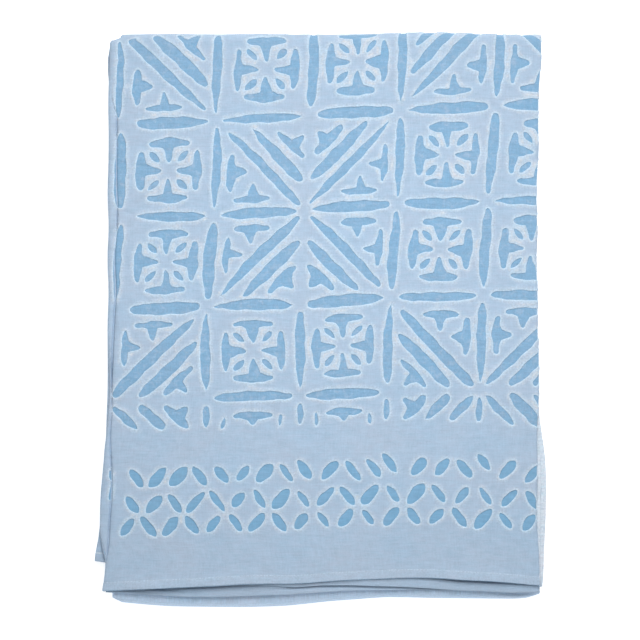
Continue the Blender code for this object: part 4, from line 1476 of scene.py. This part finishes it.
def relief(flat, edge, crowd, hem_away, cloth):
    """How far the applique cloth stands above the ground cloth, its layers, and its bunching."""
    uneven = Waves(22, 24 * MM)(*flat.T)
    turned = smooth((crowd - TURNED_FROM + 0.06 * uneven) / TURNED_FADE)
    alone = np.exp(-(np.minimum(edge, 7 * MM) / Crowding.REACH) ** 2)
    bunched = smooth((crowd / alone - BUNCHED_FROM) / BUNCHED_FADE) * turned
    rise = lerp(cloth.plain_rise, cloth.edge_rise, turned) + BUNCHED_RISE * bunched
    pucker = Waves(21, 9 * MM)(*flat.T)
    rise += (PUCKERS[0] + PUCKERS[1] * turned + PUCKERS[2] * bunched) * MM * pucker
    rise += DRAPE_RISE * Waves(23, 26 * MM)(*flat.T)
    hem = smooth((cloth.hem + 0.5 * MM - hem_away) / (1.0 * MM))
    rise += HEM_RISE * hem
    seam = np.exp(-((hem_away - cloth.hem + SEAM_INSET) / SEAM_REACH) ** 2)
    rise -= SEAM_DEPTH * seam
    rise = lerp(-0.05 * MM, rise, rolled(edge, EDGE_ROLL))
    rise = lerp(-1.0 * MM, rise, rolled(hem_away, HEM_ROLL))
    # Palest next to a window: the folded edge's own layers and a painted highlight on its rounded
    # edge
    pale = turned + 0.95 * smooth((PALEST_REACH - edge) / PALEST_FADE)
    pale = np.maximum(pale, 0.45 * hem) + 0.8 * seam
    return rise, pale, bunched - hem


def rolled(away, radius):
    """The rise of a folded edge, as round as a quarter circle."""
    share = np.clip(away / radius, 0, 1)
    return np.sqrt(share * (2 - share))


def applique_mesh(cloth):
    """The applique cloth over the folded ground cloth, its windows open."""
    windows = cut_windows(cloth)
    hem = hem_line()
    border_line = panel_outline(hem)
    points = panel_points(windows, border_line, hem)
    flat, faces = flat_triangles(windows, border_line, hem, points)
    edge = Nearest(windows)(flat)
    hem_away = Nearest([hem], closed=False)(flat)
    rise, pale, bunched = relief(flat, edge, Crowding(windows)(flat), hem_away, cloth)
    left, right = face_lines(flat[:, 1])
    face_x = lerp(left, right, (flat[:, 0] + FACE_HALF) / (2 * FACE_HALF))
    rise -= crease_relief(np.stack([face_x, flat[:, 1]], axis=1))
    shaped = settled(wrapped(flat, rise), cloth)
    place = np.column_stack([flat, np.zeros(len(flat))])
    return new_mesh("applique_sheet", shaped, faces, place, pale, bunched)


def stitch_points(lengths, hem, start, long, cloth):
    """The rings of points of one stitch, on the flat cloth and above it."""
    points = []
    for share in np.linspace(0, 1, STITCH_RINGS):
        s = np.interp(start + long * share, lengths, hem[:, 0])
        t = np.interp(start + long * share, lengths, hem[:, 1]) + cloth.hem - SEAM_INSET
        full = math.sin(math.pi * min(max(share, 0.06), 0.94))
        thick = STITCH_RADIUS * (0.35 + 0.65 * full)
        lift = cloth.plain_rise + 0.02 * MM + STITCH_RISE * math.sin(math.pi * share)
        for corner in range(STITCH_SIDES):
            angle = 2 * math.pi * corner / STITCH_SIDES
            points.append((s, t + thick * math.cos(angle), lift + thick * math.sin(angle)))
    return points


def stitch_faces(base):
    """The sides of one stitch and its two ends, from the number of its first point."""
    faces = []
    for ring in range(STITCH_RINGS - 1):
        low = base + ring * STITCH_SIDES
        high = low + STITCH_SIDES
        for corner in range(STITCH_SIDES):
            after = (corner + 1) % STITCH_SIDES
            faces.append((low + corner, low + after, high + after, high + corner))
    for low, way in ((base, -1), (base + (STITCH_RINGS - 1) * STITCH_SIDES, 1)):
        ends = [(low, low + 1, low + 2, low + 3), (low, low + 3, low + 4, low + 5)]
        faces += [face[::way] for face in ends]
    return faces


def hem_stitch_mesh(cloth):
    """The running stitches of the hem, each a short thread that rises from the cloth."""
    hem = hem_line()
    lengths = np.concatenate([[0], np.cumsum(np.hypot(*np.diff(hem, axis=0).T))])
    chance = random.Random(STITCH_SEED)
    start, points, faces = FIRST_STITCH, [], []
    while start < lengths[-1] - FIRST_STITCH:
        long = chance.uniform(*STITCH_LENGTHS) * MM
        faces += stitch_faces(len(points))
        points += stitch_points(lengths, hem, start, long, cloth)
        start += long + chance.uniform(*STITCH_GAPS) * MM
    points = np.array(points)
    shaped = settled(wrapped(points[:, :2], points[:, 2]), cloth)
    return new_mesh("hem_stitches", shaped, np.array(faces), points, np.full(len(points), 2.0))


# Materials


def add(tree, kind, values=None, links=None, out=0, **settings):
    """Add a node with its settings, the values of its inputs, and links from other nodes."""
    node = tree.nodes.new(kind)
    for name, value in settings.items():
        setattr(node, name, value)
    for name, value in (values or {}).items():
        node.inputs[name].default_value = value
    for name, output in (links or {}).items():
        tree.links.new(output, node.inputs[name])
    return node.outputs[out]


# The uneven fields of a cotton: the width and height of their spots on the flat cloth in
# millimetres, their detail and distortion. The real threads are 0.35 mm apart, and their thick
# places, which make the streaks, are 0.5 mm wide. Both are drawn about three times as wide, to
# show at all. Washing leaves puckers 2 mm wide in the worked parts, bands and rumples 3 mm wide,
# and blotches and spots about as wide as a finger. The dye changes over a hand's width.
Field = namedtuple("Field", "wide high detail distortion")
FIELDS = {
    "warp_threads": Field(0.8, 7, 1.0, 0.0),
    "weft_threads": Field(7, 0.8, 1.0, 0.0),
    "warp_streaks": Field(1.6, 17, 2.0, 0.4),
    "weft_streaks": Field(20, 1.6, 2.0, 0.4),
    "puckers": Field(2.3, 2.1, 1.0, 0.0),
    "bands": Field(26, 3.2, 2.0, 0.5),
    "rumples": Field(30, 3.4, 3.0, 0.3),
    "mottle": Field(7, 7, 3.0, 0.6),
    "blotches": Field(11, 9, 3.0, 0.0),
    "spots": Field(13, 5, 2.0, 0.0),
    "dye": Field(75, 60, 2.0, 0.0),
}
# How strong the threads and the puckers are and how high in millimetres, and how high the rumples
THREAD_BUMP = (0.35, 0.15)
PUCKER_BUMP = (0.3, 0.5)
RUMPLE_HEIGHT = 0.8


def cotton(name, stops, bunched, streak, band, wrinkle, fine):
    """A plain-woven cotton, washed soft.

    The stops are the colours that a place shows at depth 0, 1, 2 and so on of its layers, and
    bunched the colour of several layers of a turned edge. Streak, band and fine are how far the
    tone goes to both sides: along the threads, in bands and spots, and in the small puckers of
    the worked parts. Wrinkle is how strong the rumples are.
    """
    material = bpy.data.materials.new(name)
    material.use_nodes = True
    tree = material.node_tree
    shader = tree.nodes["Principled BSDF"]
    # Lawn and cambric are matte, with a faint bloom of loose fibre at a low angle. Cotton bends
    # light about as the shader's own IOR of 1.5 does.
    shader.inputs["Roughness"].default_value = 0.88
    shader.inputs["Specular IOR Level"].default_value = 0.25
    shader.inputs["Sheen Weight"].default_value = 0.10
    shader.inputs["Sheen Roughness"].default_value = 0.45
    depth = add(tree, "ShaderNodeAttribute", out="Fac", attribute_name="pale_layers")
    fields = uneven_fields(tree)
    layers = layer_colour(tree, stops, bunched, depth, fields)
    shade = thread_shade(tree, streak, band, fine, depth, fields)
    colour = add(tree, "ShaderNodeMix", {0: 1.0}, {6: layers, 7: shade}, out=2,
                 data_type="RGBA", blend_type="MULTIPLY")
    tree.links.new(colour, shader.inputs["Base Color"])
    tree.links.new(soft_relief(tree, wrinkle, depth, fields), shader.inputs["Normal"])
    return material


def uneven_fields(tree):
    """The cotton's uneven fields by name, each with values between 0 and 1."""
    place = add(tree, "ShaderNodeAttribute", out="Vector", attribute_name="cloth_place")
    fields = {}
    for label, field in FIELDS.items():
        scale = (1 / (field.wide * MM), 1 / (field.high * MM), 1)
        spot = add(tree, "ShaderNodeMapping", {"Scale": scale}, {"Vector": place},
                   vector_type="POINT")
        values = {"Scale": 1.0, "Detail": field.detail, "Roughness": 0.55,
                  "Distortion": field.distortion}
        fields[label] = add(tree, "ShaderNodeTexNoise", values, {"Vector": spot},
                            noise_dimensions="2D")
    return fields


def layer_colour(tree, stops, bunched, depth, fields):
    """The colour of the layers, paler in patches where a turned edge lies in several of them."""
    step = 1 / (len(stops) - 1)
    level = add(tree, "ShaderNodeMath", {1: step}, {0: depth}, operation="MULTIPLY")
    ramp = add(tree, "ShaderNodeValToRGB", links={0: level})
    elements = ramp.node.color_ramp.elements
    while len(elements) < len(stops):
        elements.new(0.5)
    for index, colour in enumerate(stops):
        elements[index].position = index * step
        elements[index].color = (*colour, 1.0)
    crowd = add(tree, "ShaderNodeAttribute", out="Fac", attribute_name="bunched_layers")
    patches = add(tree, "ShaderNodeMapRange", {1: 0.3, 2: 0.7, 3: -0.4, 4: 0.4},
                  {0: fields["mottle"]})
    thick = add(tree, "ShaderNodeMath", links={0: crowd, 1: patches}, operation="ADD")
    thick = add(tree, "ShaderNodeClamp", links={0: thick})
    # They show most at depth 1, and not at 0 or at 2, which is the folded edge or the seam
    turned = add(tree, "ShaderNodeMath", {1: 1.0}, {0: depth}, operation="PINGPONG")
    thick = add(tree, "ShaderNodeMath", links={0: thick, 1: turned}, operation="MULTIPLY")
    return add(tree, "ShaderNodeMix", {7: (*bunched, 1.0)}, {0: thick, 6: ramp}, out=2,
               data_type="RGBA")


def thread_shade(tree, streak, band, fine, depth, fields):
    """The tones that multiply the colour: streaks both ways, bands, puckers and uneven dye."""
    # Between which values of each field it goes, and from which tone to which
    tones = {"warp_streaks": (0.2, 0.8, -streak, streak), "puckers": (0.25, 0.75, -fine, fine),
             "weft_streaks": (0.2, 0.8, -streak, streak), "blotches": (0.2, 0.8, 0.955, 1.045),
             "bands": (0.25, 0.75, -band, band), "spots": (0.25, 0.75, -band, band),
             "dye": (0.3, 0.7, -0.03, 0.03)}
    for label, (low, high, least, most) in tones.items():
        tones[label] = add(tree, "ShaderNodeMapRange", {1: low, 2: high, 3: least, 4: most},
                           {0: fields[label]})
    # The worked parts of the cloth have small puckers, and the plain ones few
    worked = add(tree, "ShaderNodeMapRange", {1: 0.0, 2: 1.0, 3: 0.25, 4: 1.0}, {0: depth})
    puckers = add(tree, "ShaderNodeMath", links={0: tones["puckers"], 1: worked},
                  operation="MULTIPLY")
    tone = tones["warp_streaks"]
    for part in (tones["weft_streaks"], tones["blotches"], tones["bands"], puckers):
        tone = add(tree, "ShaderNodeMath", links={0: tone, 1: part}, operation="ADD")
    # The dye took unevenly: slowly from sky blue to lavender, and redder or bluer in small spots
    red = add(tree, "ShaderNodeMath", links={0: tone, 1: tones["dye"]}, operation="ADD")
    red = add(tree, "ShaderNodeMath", links={0: red, 1: tones["spots"]}, operation="ADD")
    blue = add(tree, "ShaderNodeMath", {1: -0.4}, {0: tones["dye"]}, operation="MULTIPLY")
    blue = add(tree, "ShaderNodeMath", links={0: blue, 1: tone}, operation="ADD")
    return add(tree, "ShaderNodeCombineColor", links={0: red, 1: tone, 2: blue})


def soft_relief(tree, wrinkle, depth, fields):
    """The normals of threads, rumples, and puckers where the cloth is worked."""
    threads = add(tree, "ShaderNodeMath", operation="ADD",
                  links={0: fields["warp_threads"], 1: fields["weft_threads"]})
    puckers = add(tree, "ShaderNodeMath", links={0: fields["mottle"], 1: depth},
                  operation="MULTIPLY")
    below = {}
    for height, strength, size in ((threads, *THREAD_BUMP),
                                   (fields["rumples"], wrinkle, RUMPLE_HEIGHT),
                                   (puckers, *PUCKER_BUMP)):
        values = {"Strength": strength, "Distance": size * MM}
        below["Normal"] = add(tree, "ShaderNodeBump", values, {"Height": height, **below})
    return below["Normal"]


def paper_floor():
    """Matte white paper, lit a little from behind so that it stays white up to the cloth."""
    material = bpy.data.materials.new("studio_paper")
    material.use_nodes = True
    tree = material.node_tree
    shader = tree.nodes["Principled BSDF"]
    shader.inputs["Roughness"].default_value = 0.95
    shader.inputs["Specular IOR Level"].default_value = 0.1
    grain = add(tree, "ShaderNodeTexNoise", {"Scale": 300.0, "Detail": 2.0})
    tint = add(tree, "ShaderNodeMapRange", {3: 0.93, 4: 0.97}, {0: grain})
    grey = add(tree, "ShaderNodeCombineColor", links={0: tint, 1: tint, 2: tint})
    tree.links.new(grey, shader.inputs["Base Color"])
    shader.inputs["Emission Color"].default_value = WHITE
    shader.inputs["Emission Strength"].default_value = PAPER_GLOW
    return material


# Pieces


def add_piece(mesh, material):
    """Put a mesh in the scene as a piece that goes with the body."""
    piece = bpy.data.objects.new(mesh.name, mesh)
    mesh.materials.append(material)
    bpy.context.scene.collection.objects.link(piece)
    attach(piece, "root")
    return piece


class BEDSPREAD_OT_ground(bpy.types.Operator):
    """Add the folded ground cloth"""

    bl_idname = "bedspread.ground"
    bl_label = "Ground Cloth"

    def execute(self, context):
        cloth = context.scene.bedspread_cloth
        colours = context.scene.bedspread_colours
        # Depth 0 is the ground with painted shade in the border, and depth 4 the lower folds with
        # painted light
        stops = (colours.shaded_ground, colours.ground, colours.single, colours.pale_side_hem,
                 colours.painted_light_fold)
        # Cambric is a close plain weave, so the ground is smooth, with its dye in bands and spots
        material = cotton("blue_cotton_cambric", stops, colours.single, streak=0.05, band=0.05,
                          wrinkle=0.6, fine=0.06)
        piece = add_piece(ground_mesh(cloth), material)
        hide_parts("ground_cloth")
        return {"FINISHED"}


class BEDSPREAD_OT_applique(bpy.types.Operator):
    """Add the applique cloth with its windows and the stitches of its hem"""

    bl_idname = "bedspread.applique"
    bl_label = "Applique Cloth"

    def execute(self, context):
        cloth = context.scene.bedspread_cloth
        colours = context.scene.bedspread_colours
        stops = (colours.single, colours.doubled, colours.edge)
        # Lawn is fine and thin: the blue shows through one layer of it, and less through two
        material = cotton("pale_cotton_lawn", stops, colours.bunched, streak=0.045, band=0.03,
                          wrinkle=0.25, fine=0.10)
        piece = add_piece(applique_mesh(cloth), material)
        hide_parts("applique_cloth")
        stitches = add_piece(hem_stitch_mesh(cloth), material)
        size = (PANEL_RIGHT - PANEL_LEFT, PANEL_TOP - float(HEM_LINES[1](0.0)))
        return {"FINISHED"}


class BEDSPREAD_OT_stage(bpy.types.Operator):
    """Add the floor, the lights and the camera"""

    bl_idname = "bedspread.stage"
    bl_label = "Stage"

    def execute(self, context):
        scene = context.scene
        add_floor(scene)
        for lamp in LAMPS:
            add_light(scene, lamp)
        world = bpy.data.worlds.new("studio")
        world.use_nodes = True
        world.node_tree.nodes["Background"].inputs["Color"].default_value = WHITE
        world.node_tree.nodes["Background"].inputs["Strength"].default_value = ROOM_LIGHT
        scene.world = world
        add_camera(scene)
        scene.view_settings.view_transform = "Standard"
        return {"FINISHED"}


def add_floor(scene):
    """A wide sheet of paper just under the bedspread."""
    mesh = bpy.data.meshes.new("floor")
    ways = ((-1, -1), (1, -1), (1, 1), (-1, 1))
    corners = [(x * FLOOR_REACH, y * FLOOR_REACH, 0) for x, y in ways]
    mesh.from_pydata(corners, [], [(0, 1, 2, 3)])
    mesh.materials.append(paper_floor())
    floor = bpy.data.objects.new("floor", mesh)
    floor.location.z = -0.5 * MM
    scene.collection.objects.link(floor)


def add_light(scene, lamp):
    """A soft area light that points at a place."""
    data = bpy.data.lights.new(lamp.name, "AREA")
    data.shape = "RECTANGLE"
    data.size, data.size_y = lamp.size
    data.energy = lamp.power
    light = bpy.data.objects.new(lamp.name, data)
    light.location = lamp.place
    way = Vector(lamp.target) - Vector(lamp.place)
    light.rotation_euler = way.to_track_quat("-Z", "Y").to_euler()
    light.visible_camera = False
    scene.collection.objects.link(light)


def add_camera(scene):
    """A camera straight above, far enough for the edges of the stack to stay upright."""
    data = bpy.data.cameras.new("camera")
    data.sensor_width = SENSOR
    data.lens = SENSOR * CAMERA_HEIGHT / (PICTURE_WIDTH * PIXEL)
    camera = bpy.data.objects.new("camera", data)
    camera.location = (CENTRE.x - OFF_MIDDLE, CENTRE.y + OFF_MIDDLE, STACK + CAMERA_HEIGHT)
    scene.collection.objects.link(camera)
    scene.camera = camera


class BEDSPREAD_PT_panel(bpy.types.Panel):
    """The pieces of the bedspread and what can be changed on them"""

    bl_label = "Applique Bedspread"
    bl_space_type = "VIEW_3D"
    bl_region_type = "UI"
    bl_category = "Bedspread"

    def draw(self, context):
        for group in (context.scene.bedspread_cloth, context.scene.bedspread_colours):
            for name in type(group).__annotations__:
                self.layout.prop(group, name)
        for operator in OPERATORS:
            self.layout.operator(operator.bl_idname)


GROUPS = {"bedspread_cloth": BedspreadCloth, "bedspread_colours": BedspreadColours}
OPERATORS = (BEDSPREAD_OT_ground, BEDSPREAD_OT_applique, BEDSPREAD_OT_stage)


def register():
    for name, group in GROUPS.items():
        bpy.utils.register_class(group)
        setattr(bpy.types.Scene, name, PointerProperty(type=group))
    for item in OPERATORS + (BEDSPREAD_PT_panel,):
        bpy.utils.register_class(item)


def unregister():
    for item in (BEDSPREAD_PT_panel,) + OPERATORS[::-1]:
        bpy.utils.unregister_class(item)
    for name, group in GROUPS.items():
        delattr(bpy.types.Scene, name)
        bpy.utils.unregister_class(group)


def main():
    register()
    for operator in OPERATORS:
        group, name = operator.bl_idname.split(".")
        getattr(getattr(bpy.ops, group), name)()
    bpy.context.view_layer.update()


if __name__ == "__main__":
    main()
